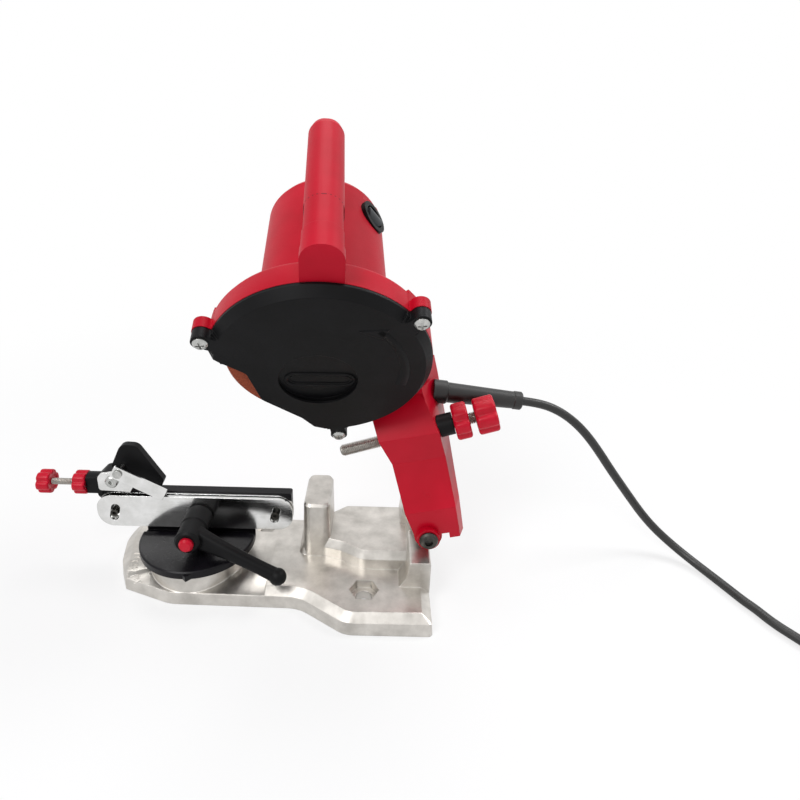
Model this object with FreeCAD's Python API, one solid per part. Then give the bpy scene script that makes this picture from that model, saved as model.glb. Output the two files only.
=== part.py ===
import FreeCAD, Part
import math
import os

# Bench-mounted electric chain grinder: an aluminium base with a turntable vise and a tilting
# grinding head on a swing arm.  Millimetres and degrees, +Z up, +X to the right, +Y to the back.
# Everything is drawn about the turntable axis and moved on saving, so that the origin of the part is
# the axis of the front bench-bolt hole at the underside of the base.
V = FreeCAD.Vector

# ---------------------------------------------------------------- driving dimensions
RUN = 0.05            # radial clearance of a running fit
FREE = 0.35           # air between pieces that move past each other
HOLE = 0.25           # radial clearance of a screw in its hole

# base casting
DECK_Z = 12.6         # top of the deck
EDGE_Z = 8.7          # top of the vertical rim, where the bevel starts
BEVEL = 6.0           # bevel width seen from above
DRAFT = 0.8           # draft of the rim and of the pedestals
BASE_WALL = 4.0       # wall of the hollow casting
RIB_T = 3.0           # rib thickness under the deck
LOBE_R = 49.0         # radius of the lobe about the turntable
BASE_BACK = 48.5      # back edge
BASE_RIGHT = 158.0    # right edge
BASE_FRONT = -55.5    # front edge at the right-hand foot
SCALE_Z = 19.0        # top of the angle-scale platform
SCALE_EDGE_X = -20.0  # right end of that platform
BOLT_X = 114.4        # front bench bolt
BOLT_Y = -29.6
BOLT2_X = 40.0        # rear bench bolt, behind the vise
BOLT2_Y = 36.0
BENCH_HOLE_R = 5.25   # clearance hole for an M10 bench bolt
HEX_AF = 17.0         # hexagon pocket for its head
HEX_DEPTH = 6.0
POST_X0, POST_X1 = 71.5, 89.5     # stop post that the depth screw lands on
POST_Y0, POST_Y1 = 3.0, 42.0
POST_Z = 54.0
POST_WALL = 4.5
SADDLE_Z = 26.0       # raised saddle between the post and the lug
SADDLE_Y0 = -10.2
LUG_X0 = 143.5        # lug wall at the right
LUG_Y0 = -26.5
LUG_Z = 32.0
TOWER_Y0 = 22.0       # rear tower that carries the pivot boss
TOWER_Z = 50.0

# turntable and vise
DISC_R = 38.2
DISC_Z = 30.2         # top of the disc
DISC_T = 5.6
SPIGOT_R = 8.0
SPIGOT_BOT = 9.7
GROOVE_Y0, GROOVE_Y1 = 1.5, 7.6
GROOVE_D = 3.0
TABLE_BOLT_R = 4.0
JAW_X0, JAW_X1 = -67.1, 64.6      # jaw plates
JAW_Z0, JAW_Z1 = 34.5, 58.6
JAW_T = 2.2
JAW_Y = 1.6           # front face of the front jaw
CHAIN_GAP = 1.6       # gap between the jaws at rest
JAW_END_R = 10.5
BLOCK_X0, BLOCK_X1 = -53.0, 63.2  # rear vise block
BLOCK_T = 6.8
BLOCK_Z1 = 59.5
FOOT_Y1 = 27.0        # back of the block's foot on the disc
PIN_L = (-55.4, 45.5)             # guide pins of the front jaw (x, z)
PIN_R = (52.9, 46.3)
PIN_RAD = 2.6
SLOT_LEN = 13.0
SLOT_LEAN = 14.0      # lean of the slots from upright
CLAMP_X, CLAMP_Z = 2.0, 45.0      # clamp screw axis, along Y
CLAMP_R = 4.0
HUB_R = 8.8
HUB_FRONT = -29.0
BUTTON_R = 4.6
BUTTON_OUT = 1.6
LEVER_TIP = (60.5, 23.0)          # centre of the lever's rounded end (x, z)
LEVER_Y0, LEVER_Y1 = -19.5, -32.0 # centre line at the root and at the end

# chain stop
STOP_X0, STOP_X1 = -68.0, -53.0
STOP_Z0, STOP_Z1 = 52.0, 75.0
STOP_Y0, STOP_Y1 = 5.4, 16.0
ROD_Y, ROD_Z = 10.0, 63.4
ROD_R = 2.2
KNOB2_R = 8.0         # small six-lobed knobs
STOP_PIN = (-55.0, 68.5)
STOP_PLATE_T = 2.0

# swing arm
PIVOT_X, PIVOT_Z = 155.8, 42.1
ARM_LEAN = -12.0      # lean of the arm at rest
SHEET = 2.5           # steel sheet of the arm
BOSS_R = 9.5          # pivot boss of the tower
BOSS_Y0 = 6.0
SLEEVE_R = 5.0
PIVOT_R = 4.0
ARM_Y = -11.0         # front face of the arm at the pivot
RING_R = 7.5
RING_Y0 = -15.5
WIRE_R = 0.9          # return spring
COIL_R = 6.8
COILS = 5

# depth screw
DEPTH_Y = 16.0
DEPTH_Q = 65.5        # height along the arm at p = 25
DEPTH_TILT = 5.6
DEPTH_R = 4.0
DEPTH_END = -49.0
KNOB1_R = 12.25       # large six-lobed knobs
COLLAR_P = 28.7

# grinding head: origin at the centre of the cover's front face
HEAD_X, HEAD_Y, HEAD_Z = 88.0, -28.3, 164.5
HEAD_TILT = 30.0      # backward tilt of the spindle
HEAD_LEAN = -6.2      # lean at rest
COVER_R = 62.8
COVER_FACE_R = 59.4
COVER_T = 6.9
COVER_WALL = 2.4
EAR_AT = 66.5         # radius of the three screw ears
EAR_R = 5.6
EAR_ANGLES = (151.2, 31.2, -88.8)
BADGE_R = 22.0        # raised round boss of the cover
BADGE_T = 5.15
DISH_R = 63.0
DISH_BACK = 23.0
DISH_WALL = 2.6
CAVITY_R = 57.2
WHEEL_R = 54.0
WHEEL_T = 3.2
WHEEL_OFF = 7.6       # front face of the wheel
WHEEL_BORE = 11.15
SPINDLE_R = 5.0
MOTOR_R = 40.0        # barrel radius at the front
MOTOR_R2 = 38.0       # and at the rear
MOTOR_WALL = 2.6
MOTOR_END = 134.0
STATOR_R = MOTOR_R2 - MOTOR_WALL - 1.4
ARMATURE_R = STATOR_R - 12.2
COMM_R = 12.0
GRIP_ANGLE = 81.2     # angle of the handle around the head
GRIP_W = 22.0
GRIP_OUT = 86.0
GRIP_T = 24.0
GRIP_IN = GRIP_OUT - GRIP_T
GRIP_FRONT = 7.0
GRIP_END = 120.0
GRIP_SEAM = 45.0
SWITCH_ANGLE = 29.0
SWITCH_OFF = 108.0
SWITCH_R = 11.0

# cord
CORD_R = 3.0


# ---------------------------------------------------------------- helpers
HEAD = FreeCAD.Placement(V(HEAD_X, HEAD_Y, HEAD_Z),
                         FreeCAD.Rotation(V(0, 1, 0), HEAD_LEAN) * FreeCAD.Rotation(V(1, 0, 0), HEAD_TILT))
ARM = FreeCAD.Placement(V(PIVOT_X, 0, PIVOT_Z), FreeCAD.Rotation(V(0, 1, 0), ARM_LEAN))


def save(node, shape):
    s = shape.copy()
    s.translate(V(-BOLT_X, -BOLT_Y, 0))
    s.exportStep("parts/" + node + ".step")


def placed(shape, placement):
    s = shape.copy()
    s.transformShape(placement.toMatrix(), True)
    return s


def box(x0, y0, z0, x1, y1, z1):
    return Part.makeBox(x1 - x0, y1 - y0, z1 - z0, V(x0, y0, z0))


def cyl(p, d, r, length):
    return Part.makeCylinder(r, length, V(*p), V(*d))


def tube(p, d, ro, ri, length):
    e = V(*d).normalize()
    a = V(*p)
    return cyl(p, d, ro, length).cut(Part.makeCylinder(ri, length + 2, a - e, e))


def inset(pts, d):
    """Move every edge of an anticlockwise outline of (x, y, radius) inwards by d."""
    out = []
    n = len(pts)
    for i in range(n):
        a, b, c = V(*pts[i - 1][:2]), V(*pts[i][:2]), V(*pts[(i + 1) % n][:2])
        e, f = (b - a).normalize(), (c - b).normalize()
        ne, nf = V(-e.y, e.x), V(-f.y, f.x)
        k = 1 + ne.dot(nf)
        m = (ne + nf) * (d / k)
        left = e.x * f.y - e.y * f.x > 0
        r = pts[i][2]
        out.append((b.x + m.x, b.y + m.y, max(0.4, r - d) if left else r + d))
    return out


def outline(pts, z=0.0):
    """Closed wire through (x, y, radius) corners, each rounded to its radius."""
    n = len(pts)
    ends = []
    for i in range(n):
        a, b, c = V(*pts[i - 1][:2]), V(*pts[i][:2]), V(*pts[(i + 1) % n][:2])
        e, f = (b - a).normalize(), (c - b).normalize()
        turn = math.acos(max(-1.0, min(1.0, e.dot(f))))
        t = pts[i][2] * math.tan(turn / 2)
        bis = (f - e).normalize()
        mid = b + bis * (pts[i][2] / math.cos(turn / 2) - pts[i][2])
        ends.append((b - e * t, mid, b + f * t))
    up = V(0, 0, z)
    edges = []
    for i in range(n):
        p0, pm, p1 = ends[i]
        edges.append(Part.Arc(p0 + up, pm + up, p1 + up).toShape())
        q = ends[(i + 1) % n][0]
        if (q - p1).Length > 1e-6:
            edges.append(Part.LineSegment(p1 + up, q + up).toShape())
    return Part.Wire(edges)


def prism(pts, z0, z1):
    return Part.Face(outline(pts, z0)).extrude(V(0, 0, z1 - z0))


def taper(pts, z0, z1, d):
    """Prism whose outline is inset by d at its upper end."""
    return Part.makeLoft([outline(pts, z0), outline(inset(pts, d), z1)], True, True)


def rect(x0, y0, x1, y1, r):
    return [(x0, y0, r), (x1, y0, r), (x1, y1, r), (x0, y1, r)]


def upright(pts, y0, y1):
    """Prism of an (x, z, radius) outline, drawn in the XZ plane, from y0 to y1."""
    s = Part.Face(outline(pts, 0)).extrude(V(0, 0, y1 - y0))
    s.rotate(V(0, 0, 0), V(1, 0, 0), 90)
    s.translate(V(0, y1, 0))
    return s


def loft_quads(sections, closed=True):
    wires = [Part.makePolygon([V(*p) for p in s] + [V(*s[0])]) for s in sections]
    return Part.makeLoft(wires, closed, True)


def turned(profile, p, d):
    """Solid of revolution of (radius, height) corners about the axis through p along d."""
    pts = [V(r, 0, h) for r, h in profile]
    f = Part.Face(Part.makePolygon(pts + [pts[0]]))
    s = f.revolve(V(0, 0, 0), V(0, 0, 1), 360)
    s.Placement = FreeCAD.Placement(V(*p), FreeCAD.Rotation(V(0, 0, 1), V(*d)))
    return s


def knob(r, length, bore, p, d):
    """Six-lobed knob with bevelled rims along d from p."""
    body = turned([(bore, 0), (r - 1.4, 0), (r, 1.4), (r, length - 1.4), (r - 1.4, length), (bore, length)]
                  if bore > 0 else
                  [(0, 0), (r - 1.4, 0), (r, 1.4), (r, length - 1.4), (r - 1.4, length), (0, length)],
                  (0, 0, 0), (0, 0, 1))
    for i in range(6):
        a = math.radians(60 * i + 30)
        g = 1.16 * r
        body = body.cut(cyl((g * math.cos(a), g * math.sin(a), -1), (0, 0, 1), 0.30 * r, length + 2))
    body.Placement = FreeCAD.Placement(V(*p), FreeCAD.Rotation(V(0, 0, 1), V(*d)))
    return body


def hexagon(af, height, p, d):
    r = af / math.sqrt(3)
    pts = [V(r * math.cos(math.radians(60 * i)), r * math.sin(math.radians(60 * i)), 0) for i in range(7)]
    s = Part.Face(Part.makePolygon(pts)).extrude(V(0, 0, height))
    s.Placement = FreeCAD.Placement(V(*p), FreeCAD.Rotation(V(0, 0, 1), V(*d)))
    return s


def largest(shape):
    return max(shape.Solids, key=lambda s: s.Volume)


def group(solids):
    return Part.makeCompound(solids)


# ---------------------------------------------------------------- base
BASE_OUT = [(-LOBE_R, -18.5, 8), (-12, -33, 30), (72, -34.5, 25), (103, BASE_FRONT, 18),
            (BASE_RIGHT, BASE_FRONT, 3), (BASE_RIGHT, BASE_BACK, 6), (-LOBE_R, BASE_BACK, LOBE_R - 1)]


def base_casting():
    b = taper(BASE_OUT, 0, EDGE_Z, DRAFT)
    b = b.fuse(taper(inset(BASE_OUT, DRAFT), EDGE_Z, DECK_Z, BEVEL))
    scale = Part.makeCone(LOBE_R - 0.9, LOBE_R - 1.3, SCALE_Z - 5 - 1.2, V(0, 0, 5))
    scale = scale.fuse(Part.makeCone(LOBE_R - 1.3, LOBE_R - 2.5, 1.2, V(0, 0, SCALE_Z - 1.2)))
    scale = scale.common(box(-60, -22, 0, SCALE_EDGE_X, 60, 30))
    b = b.fuse(scale)
    disc_bottom = DISC_Z - DISC_T
    b = b.fuse(Part.makeCone(DISC_R + 4.6, DISC_R + 3.4, disc_bottom - FREE - 5, V(0, 0, 5)))
    post = taper(rect(POST_X0 - 4.6, POST_Y0 - 0.8, POST_X1 + 4.6, POST_Y1 + 2, 6), DECK_Z - 2, DECK_Z + 8, 3.8)
    post = post.fuse(taper(rect(POST_X0 - 0.9, POST_Y0 - 0.9, POST_X1 + 0.9, POST_Y1 + 0.9, 5.9),
                           DECK_Z, POST_Z - 2, 0.9))
    post = post.fuse(taper(rect(POST_X0, POST_Y0, POST_X1, POST_Y1, 5), POST_Z - 2, POST_Z, 1.4))
    b = b.fuse(post)
    saddle = [(84, 2.5, 4), (97.5, -1.6, 8), (112.2, SADDLE_Y0, 10), (150, SADDLE_Y0, 2),
              (150, 46, 2), (98.2, 46, 8), (84, 34, 4)]
    b = b.fuse(prism(saddle, 8, SADDLE_Z - 5.5))
    b = b.fuse(taper(saddle, SADDLE_Z - 5.5, SADDLE_Z, 3.2))
    lug = [(134, 8, 0.5), (BASE_RIGHT - 0.6, 8, 0.5), (BASE_RIGHT - 0.6, LUG_Z, 1.5), (LUG_X0, LUG_Z, 1.5),
           (LUG_X0 - 1.5, 20, 9)]
    b = b.fuse(upright(lug, LUG_Y0, TOWER_Y0 + 4))
    tower = [(137, 10, 0.5), (BASE_RIGHT - 0.6, 10, 0.5), (BASE_RIGHT - 0.6, TOWER_Z, 3), (141, TOWER_Z, 7)]
    b = b.fuse(upright(tower, TOWER_Y0, BASE_BACK - 0.8))
    b = b.fuse(cyl((PIVOT_X, BOSS_Y0, PIVOT_Z), (0, 1, 0), BOSS_R, BASE_BACK - 0.3 - BOSS_Y0))
    b = b.fuse(box(LUG_X0, BOSS_Y0 + 1, LUG_Z - 4, BASE_RIGHT - 0.6, TOWER_Y0 + 2, PIVOT_Z - 3))
    # hollow underside: pockets between ribs, with bosses left round the bolts and the spigot
    pocket = prism(inset(BASE_OUT, BASE_WALL + DRAFT), -1, DECK_Z - BASE_WALL)
    keep = [box(x - RIB_T / 2, -80, -2, x + RIB_T / 2, 80, 20) for x in (-26, 24, 56, 84, 112, 138)]
    keep += [box(-60, y - RIB_T / 2, -2, 170, y + RIB_T / 2, 20) for y in (-16, 12, 34)]
    keep += [cyl((BOLT_X, BOLT_Y, -2), (0, 0, 1), BENCH_HOLE_R + 4.5, 30),
             cyl((BOLT2_X, BOLT2_Y, -2), (0, 0, 1), BENCH_HOLE_R + 4.5, 30)]
    for k in keep:
        pocket = pocket.cut(k)
    b = b.cut(pocket)
    b = b.cut(cyl((0, 0, -1), (0, 0, 1), 15.0, SPIGOT_BOT + FREE + 1))
    b = b.cut(cyl((0, 0, 0), (0, 0, 1), SPIGOT_R + RUN, 40))
    b = b.cut(taper(rect(POST_X0 + POST_WALL, POST_Y0 + POST_WALL, POST_X1 - POST_WALL, POST_Y1 - POST_WALL, 3),
                    -1, POST_Z - 6, 0.6))
    for x, y in ((BOLT_X, BOLT_Y), (BOLT2_X, BOLT2_Y)):
        b = b.cut(cyl((x, y, -1), (0, 0, 1), BENCH_HOLE_R, 40))
        b = b.cut(hexagon(HEX_AF, 30, (x, y, DECK_Z - HEX_DEPTH), (0, 0, 1)))
    b = b.cut(cyl((PIVOT_X, 0, PIVOT_Z), (0, 1, 0), PIVOT_R + HOLE, 60))
    b = b.cut(cyl((130, 44, 23.5), (1, 0, 0), 1.6, 16))
    return largest(b)


def pivot_bolt():
    y0 = RING_Y0 - 0.3
    s = cyl((PIVOT_X, y0, PIVOT_Z), (0, 1, 0), PIVOT_R, 70)
    head = turned([(0, 0), (6.2, 0), (6.2, 1.0), (5.2, 2.4), (3.4, 3.0), (0, 3.0)], (PIVOT_X, y0, PIVOT_Z), (0, -1, 0))
    head = head.cut(hexagon(5.0, 2.0, (PIVOT_X, y0 - 3.2, PIVOT_Z), (0, 1, 0)))
    return s.fuse(head)


def pivot_sleeve():
    return tube((PIVOT_X, RING_Y0 - 0.3, PIVOT_Z), (0, 1, 0), SLEEVE_R, PIVOT_R + RUN, BOSS_Y0 - RING_Y0 + 0.3)


def pivot_nut():
    y = BASE_BACK - 0.3
    w = tube((PIVOT_X, y, PIVOT_Z), (0, 1, 0), 8.0, PIVOT_R, 1.6)
    n = hexagon(13.0, 6.5, (PIVOT_X, y + 1.6, PIVOT_Z), (0, 1, 0)).cut(
        cyl((PIVOT_X, y, PIVOT_Z), (0, 1, 0), PIVOT_R, 20))
    return w.fuse(n)


def return_spring():
    pitch = 2.1
    y0 = ARM_Y + SHEET + 2.0
    helix = Part.makeHelix(pitch, pitch * COILS, COIL_R)
    ring = Part.Wire([Part.makeCircle(WIRE_R, V(COIL_R, 0, 0), V(0, 1, 0))])
    s = Part.Wire(helix.Edges).makePipeShell([ring], True, True)
    if not s.Solids:
        s = Part.Solid(s)
    s.Placement = FreeCAD.Placement(V(PIVOT_X, y0 + WIRE_R, PIVOT_Z), FreeCAD.Rotation(V(0, 0, 1), V(0, 1, 0)))
    return s


# ---------------------------------------------------------------- turntable and vise
def turntable_disc():
    zb = DISC_Z - DISC_T
    s = turned([(0, SPIGOT_BOT), (SPIGOT_R, SPIGOT_BOT), (SPIGOT_R, zb), (DISC_R - 0.6, zb), (DISC_R, zb + 0.6),
                (DISC_R, DISC_Z - 0.8), (DISC_R - 0.8, DISC_Z), (0, DISC_Z)], (0, 0, 0), (0, 0, 1))
    s = s.cut(box(-60, GROOVE_Y0, DISC_Z - GROOVE_D, 60, GROOVE_Y1, 60))
    s = s.cut(cyl((0, 0, 0), (0, 0, 1), TABLE_BOLT_R, 22))
    tab = prism([(-1.6, -DISC_R + 2, 0.3), (3.1, -DISC_R - 2.6, 0.6), (7.8, -DISC_R + 2.4, 0.3)],
                zb + 0.6, DISC_Z - 1.2)
    return s.fuse(tab)


def table_bolt():
    s = cyl((0, 0, SPIGOT_BOT - 1.6 - 5.3), (0, 0, 1), TABLE_BOLT_R, 19)
    return s.fuse(hexagon(13.0, 5.3, (0, 0, SPIGOT_BOT - 1.6 - 5.3), (0, 0, 1)))


def table_washer():
    return tube((0, 0, SPIGOT_BOT - 1.6), (0, 0, 1), 11.0, TABLE_BOLT_R + HOLE, 1.6)


JAW = [(JAW_X0, JAW_Z0, JAW_END_R), (JAW_X1, JAW_Z0, JAW_END_R), (JAW_X1, JAW_Z1, JAW_END_R),
       (JAW_X0, JAW_Z1, JAW_END_R)]
REAR_Y = JAW_Y + JAW_T + CHAIN_GAP            # front face of the rear jaw
BLOCK_Y = REAR_Y + JAW_T                      # front face of the vise block


def slot(x, z, r, length, lean, y0, y1):
    h = length / 2 - r
    s = box(-r, y0, -h, r, y1, h).fuse(cyl((0, y0, -h), (0, 1, 0), r, y1 - y0)).fuse(
        cyl((0, y0, h), (0, 1, 0), r, y1 - y0))
    s.rotate(V(0, 0, 0), V(0, 1, 0), lean)
    s.translate(V(x, 0, z))
    return s


def jaw_plate(y):
    s = upright(JAW, y, y + JAW_T)
    return s.cut(cyl((CLAMP_X, y - 1, CLAMP_Z), (0, 1, 0), CLAMP_R + 0.4, JAW_T + 2))


def front_jaw():
    s = jaw_plate(JAW_Y)
    for x, z in (PIN_L, PIN_R):
        s = s.cut(slot(x, z, PIN_RAD + FREE, SLOT_LEN, SLOT_LEAN, JAW_Y - 1, JAW_Y + JAW_T + 1))
    return s


def rear_jaw():
    s = jaw_plate(REAR_Y)
    for x, z in (PIN_L, PIN_R):
        s = s.cut(cyl((x, REAR_Y - 1, z), (0, 1, 0), PIN_RAD, JAW_T + 2))
    return s


def guide_pins():
    out = []
    for x, z in (PIN_L, PIN_R):
        p = cyl((x, JAW_Y - 1.3, z), (0, 1, 0), PIN_RAD, REAR_Y + JAW_T - JAW_Y + 1.3)
        p = p.cut(hexagon(2.5, 1.6, (x, JAW_Y - 1.4, z), (0, 1, 0)))
        out.append(p)
    return group(out)


def vise_block():
    y1 = BLOCK_Y + BLOCK_T
    face = [(-DISC_R + 8, DISC_Z, 1), (DISC_R - 8, DISC_Z, 1), (DISC_R - 4, JAW_Z0 + 3, 3), (BLOCK_X1, JAW_Z0 + 5, 3),
            (BLOCK_X1, BLOCK_Z1, 1.5), (BLOCK_X0, BLOCK_Z1, 1.5), (BLOCK_X0, JAW_Z0 + 5, 3), (-DISC_R + 4, JAW_Z0 + 3, 3)]
    s = upright(face, BLOCK_Y, y1)
    s = s.fuse(box(-26, y1 - 1, DISC_Z, 26, FOOT_Y1, DISC_Z + 5))
    for x in (-24, 21):
        rib = Part.Face(Part.makePolygon([V(x, y1 - 1, DISC_Z + 4), V(x, FOOT_Y1 - 2, DISC_Z + 4),
                                          V(x, y1, BLOCK_Z1 - 8), V(x, y1 - 1, BLOCK_Z1 - 8),
                                          V(x, y1 - 1, DISC_Z + 4)])).extrude(V(4, 0, 0))
        s = s.fuse(rib)
    s = s.fuse(cyl((CLAMP_X, BLOCK_Y, CLAMP_Z), (0, 1, 0), 9, BLOCK_T + 6))
    s = s.cut(cyl((CLAMP_X, BLOCK_Y - 1, CLAMP_Z), (0, 1, 0), CLAMP_R + RUN, 40))
    for x in (-15, 15):
        s = s.cut(cyl((x, FOOT_Y1 - 6, DISC_Z - 1), (0, 0, 1), 2.6, 20))
    return s


def vise_screws():
    out = []
    for x in (-15, 15):
        y = FOOT_Y1 - 6
        out.append(cyl((x, y, DISC_Z), (0, 0, 1), 2.5, 5).fuse(
            turned([(0, 0), (4.4, 0), (4.4, 3.2), (3.8, 4.0), (0, 4.0)], (x, y, DISC_Z + 5), (0, 0, 1)).cut(
                hexagon(4.0, 3.0, (x, y, DISC_Z + 7), (0, 0, 1)))))
    return group(out)


# clamp lever
def clamp_screw():
    return cyl((CLAMP_X, -16, CLAMP_Z), (0, 1, 0), CLAMP_R, 16 + BLOCK_Y + BLOCK_T + 4)


def lever_handle():
    x, z = CLAMP_X, CLAMP_Z
    hub = turned([(CLAMP_R, 0), (HUB_R - 1.0, 0), (HUB_R, 1.2), (HUB_R, 14), (HUB_R - 0.6, 15),
                  (HUB_R - 0.6, -HUB_FRONT - 1.5 + JAW_Y - 0.3), (HUB_R - 2.0, -HUB_FRONT + JAW_Y - 0.3),
                  (BUTTON_R + RUN, -HUB_FRONT + JAW_Y - 0.3), (BUTTON_R + RUN, 17.6), (CLAMP_R, 17.6)],
                 (x, JAW_Y - 0.3, z), (0, -1, 0))
    tx, tz = LEVER_TIP
    run = math.hypot(tx - x, tz - z)
    ang = math.degrees(math.atan2(tz - z, tx - x))

    def section(u, yc, w, t, r, lift=0.0):
        pts = rect(-t / 2, lift - w / 2, t / 2, lift + w / 2, r)
        wire = outline(pts, 0)
        wire.Placement = FreeCAD.Placement(V(u, yc, 0), FreeCAD.Rotation(V(0, 1, 0), V(0, 0, 1), V(1, 0, 0)))
        return wire
    arm = Part.makeLoft([section(2, LEVER_Y0, 15.0, 9.0, 3.0), section(0.45 * run, LEVER_Y0 - 6.5, 9.4, 8.0, 3.0, 1.2),
                         section(run - 3, LEVER_Y1 + 0.5, 9.0, 8.0, 3.0)], True, False)
    tip = Part.makeSphere(5.6, V(run - 1.5, LEVER_Y1, 0))
    arm = arm.fuse(tip)
    arm.rotate(V(0, 0, 0), V(0, 1, 0), -ang)
    arm.translate(V(x, 0, z))
    s = arm.fuse(turned([(0, 0), (HUB_R - 0.8, 0), (HUB_R - 0.8, 12), (0, 12)], (x, -14, z), (0, -1, 0)))
    s = s.cut(cyl((x, -60, z), (0, 1, 0), BUTTON_R + RUN, 60 - 17.6 + JAW_Y - 0.3))
    s = s.cut(cyl((x, -30, z), (0, 1, 0), CLAMP_R, 40))
    return largest(hub.fuse(s))


def lever_button():
    return turned([(0, 0), (BUTTON_R, 0), (BUTTON_R, 9.6 + BUTTON_OUT), (BUTTON_R - 1.2, 11.2 + BUTTON_OUT),
                   (0, 11.6 + BUTTON_OUT)], (CLAMP_X, -19.6, CLAMP_Z), (0, -1, 0))


# ---------------------------------------------------------------- chain stop
def stop_body():
    face = [(STOP_X0, STOP_Z0, 4), (STOP_X1, STOP_Z0, 1), (STOP_X1, STOP_Z1, 3), (STOP_X1 - 8, STOP_Z1, 5),
            (STOP_X0, STOP_Z0 + 16, 5)]
    s = upright(face, STOP_Y0, STOP_Y1)
    s = s.cut(box(STOP_X0 - 2, STOP_Y0 - 1, STOP_Z0 - 2, STOP_X1 + 1, BLOCK_Y, JAW_Z1 + 0.6))
    s = s.fuse(cyl((STOP_X0 - 5.6, ROD_Y, ROD_Z), (1, 0, 0), 7.4, 10).common(
        box(STOP_X0 - 6, STOP_Y0, STOP_Z0, STOP_X1, 30, 90)))
    fin = [(STOP_X1 - 2, ROD_Z - 2, 1), (-26.0, BLOCK_Z1 + 0.4, 1), (-22.5, 67, 2), (-38.0, 93, 6), (-48.5, 93.5, 6),
           (STOP_X1 - 3, 78, 3)]
    s = s.fuse(upright(fin, BLOCK_Y + 1.2, BLOCK_Y + 6.2))
    s = s.fuse(box(STOP_X1 - 6, BLOCK_Y + 1.2, ROD_Z + 1, STOP_X1 + 3, STOP_Y1, STOP_Z1))
    s = s.cut(cyl((-90, ROD_Y, ROD_Z), (1, 0, 0), ROD_R + RUN, 37))
    s = s.cut(cyl((-56, ROD_Y, ROD_Z), (1, 0, 0), ROD_R + 0.4, 20))
    return largest(s)


def stop_plate():
    y1 = STOP_Y0
    pts = [(-64.5, 61.5, 2), (-44.0, 60.5, 1.5), (-41.5, 64.5, 1.5), (-52.0, 75.5, 4), (-64.5, 74.0, 5)]
    s = upright(pts, y1 - STOP_PLATE_T, y1)
    return s.cut(cyl((STOP_PIN[0], y1 - 5, STOP_PIN[1]), (0, 1, 0), 2.5, 10))


def stop_pin():
    x, z = STOP_PIN
    s = cyl((x, STOP_Y0 - STOP_PLATE_T, z), (0, 1, 0), 2.5, STOP_PLATE_T)
    return s.fuse(turned([(0, 0), (4.2, 0), (4.2, 1.2), (3.4, 1.9), (0, 1.9)],
                         (x, STOP_Y0 - STOP_PLATE_T, z), (0, -1, 0)).cut(
        hexagon(3.0, 1.6, (x, STOP_Y0 - STOP_PLATE_T - 2.0, z), (0, 1, 0))))


PAWL_PIVOT = (-48.5, 77.0)          # (x, z)
PAWL_Y = JAW_Y - FREE - 0.7         # back face of the pawl, clear of the opened front jaw


def stop_pawl():
    """Sprung steel strip, hinged at its upper end, that drops behind a cutter of the chain."""
    x0, z0 = PAWL_PIVOT
    y1 = PAWL_Y
    a = math.atan2(60.2 - 76.0, -21.5 + 50.5)
    dx, dz = math.cos(a), math.sin(a)
    nx, nz = -dz, dx
    ln = 37.0
    w = 4.6
    sx, sz = x0 - 4 * dx, z0 - 4 * dz
    pts = [(sx - w * nx, sz - w * nz), (sx + ln * dx - w * nx, sz + ln * dz - w * nz),
           (sx + ln * dx + w * nx, sz + ln * dz + w * nz), (sx + w * nx, sz + w * nz)]
    s = upright([(p[0], p[1], 1.0) for p in pts], y1 - 1.4, y1)
    back = tube((x0, y1, z0), (0, 1, 0), 3.2, 1.6, 1.2)
    return s.fuse(back).cut(cyl((x0, y1 - 3, z0), (0, 1, 0), 1.6, 12))


def pawl_pin():
    x0, z0 = PAWL_PIVOT
    y1 = PAWL_Y
    s = cyl((x0, y1 - 1.4, z0), (0, 1, 0), 1.6 - RUN, BLOCK_Y + 1.2 - y1 + 1.4)
    return s.fuse(cyl((x0, y1 - 2.6, z0), (0, 1, 0), 2.9, 0.9)).fuse(cyl((x0, y1 - 2.0, z0), (0, 1, 0), 1.2, 3))


def stop_rod():
    return cyl((-106.0, ROD_Y, ROD_Z), (1, 0, 0), ROD_R, 46.0)


def stop_knob():
    return knob(KNOB2_R, 12.5, ROD_R, (-106.5, ROD_Y, ROD_Z), (1, 0, 0))


def stop_lock_knob():
    return knob(KNOB2_R, 12.5, ROD_R + RUN, (STOP_X0 - 5.6 - FREE - 12.5, ROD_Y, ROD_Z), (1, 0, 0))


# ---------------------------------------------------------------- swing arm
def arm_local(v, off, u):
    """Arm coordinates (p, y, q) of a point of the head."""
    w = HEAD.multVec(V(v, off, u))
    return ARM.inverse().multVec(w)


# stations along the arm: q, front face y, left edge, fold, outer end of the flange and its depth
STATIONS = ((-9.0, ARM_Y, -9.0, 20.5, 23.5, -4.0), (3.0, ARM_Y, -9.2, 21.0, 24.0, -2.5),
            (19.2, ARM_Y, -12.2, 21.0, 24.5, 0.0), (47.5, 6.0, -15.5, 20.0, 24.8, 26.0),
            (65.5, 6.0, -21.3, 18.5, 24.8, 42.0), (84.0, 18.0, -24.1, 12.8, 24.6, 45.0))
LIP_V0, LIP_V1 = 20.0, 57.0       # lip screwed to the back of the wheel housing
LIP_U0, LIP_U1 = -60.0, -42.0
LIP_U = -51.0
LIP_SCREWS = (27.0, 50.0)
FLANGE_TOP = ((91.0, 22.6, 0.0, 11.6, 24.5, 45.5), (104.0, 30.0, 0.0, 17.0, 24.0, 45.5))


def chain_of(sections):
    """Solid made of one ruled block between each pair of neighbouring sections."""
    s = None
    for i in range(len(sections) - 1):
        k = loft_quads(sections[i:i + 2])
        s = k if s is None else s.fuse(k)
    return s


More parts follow.
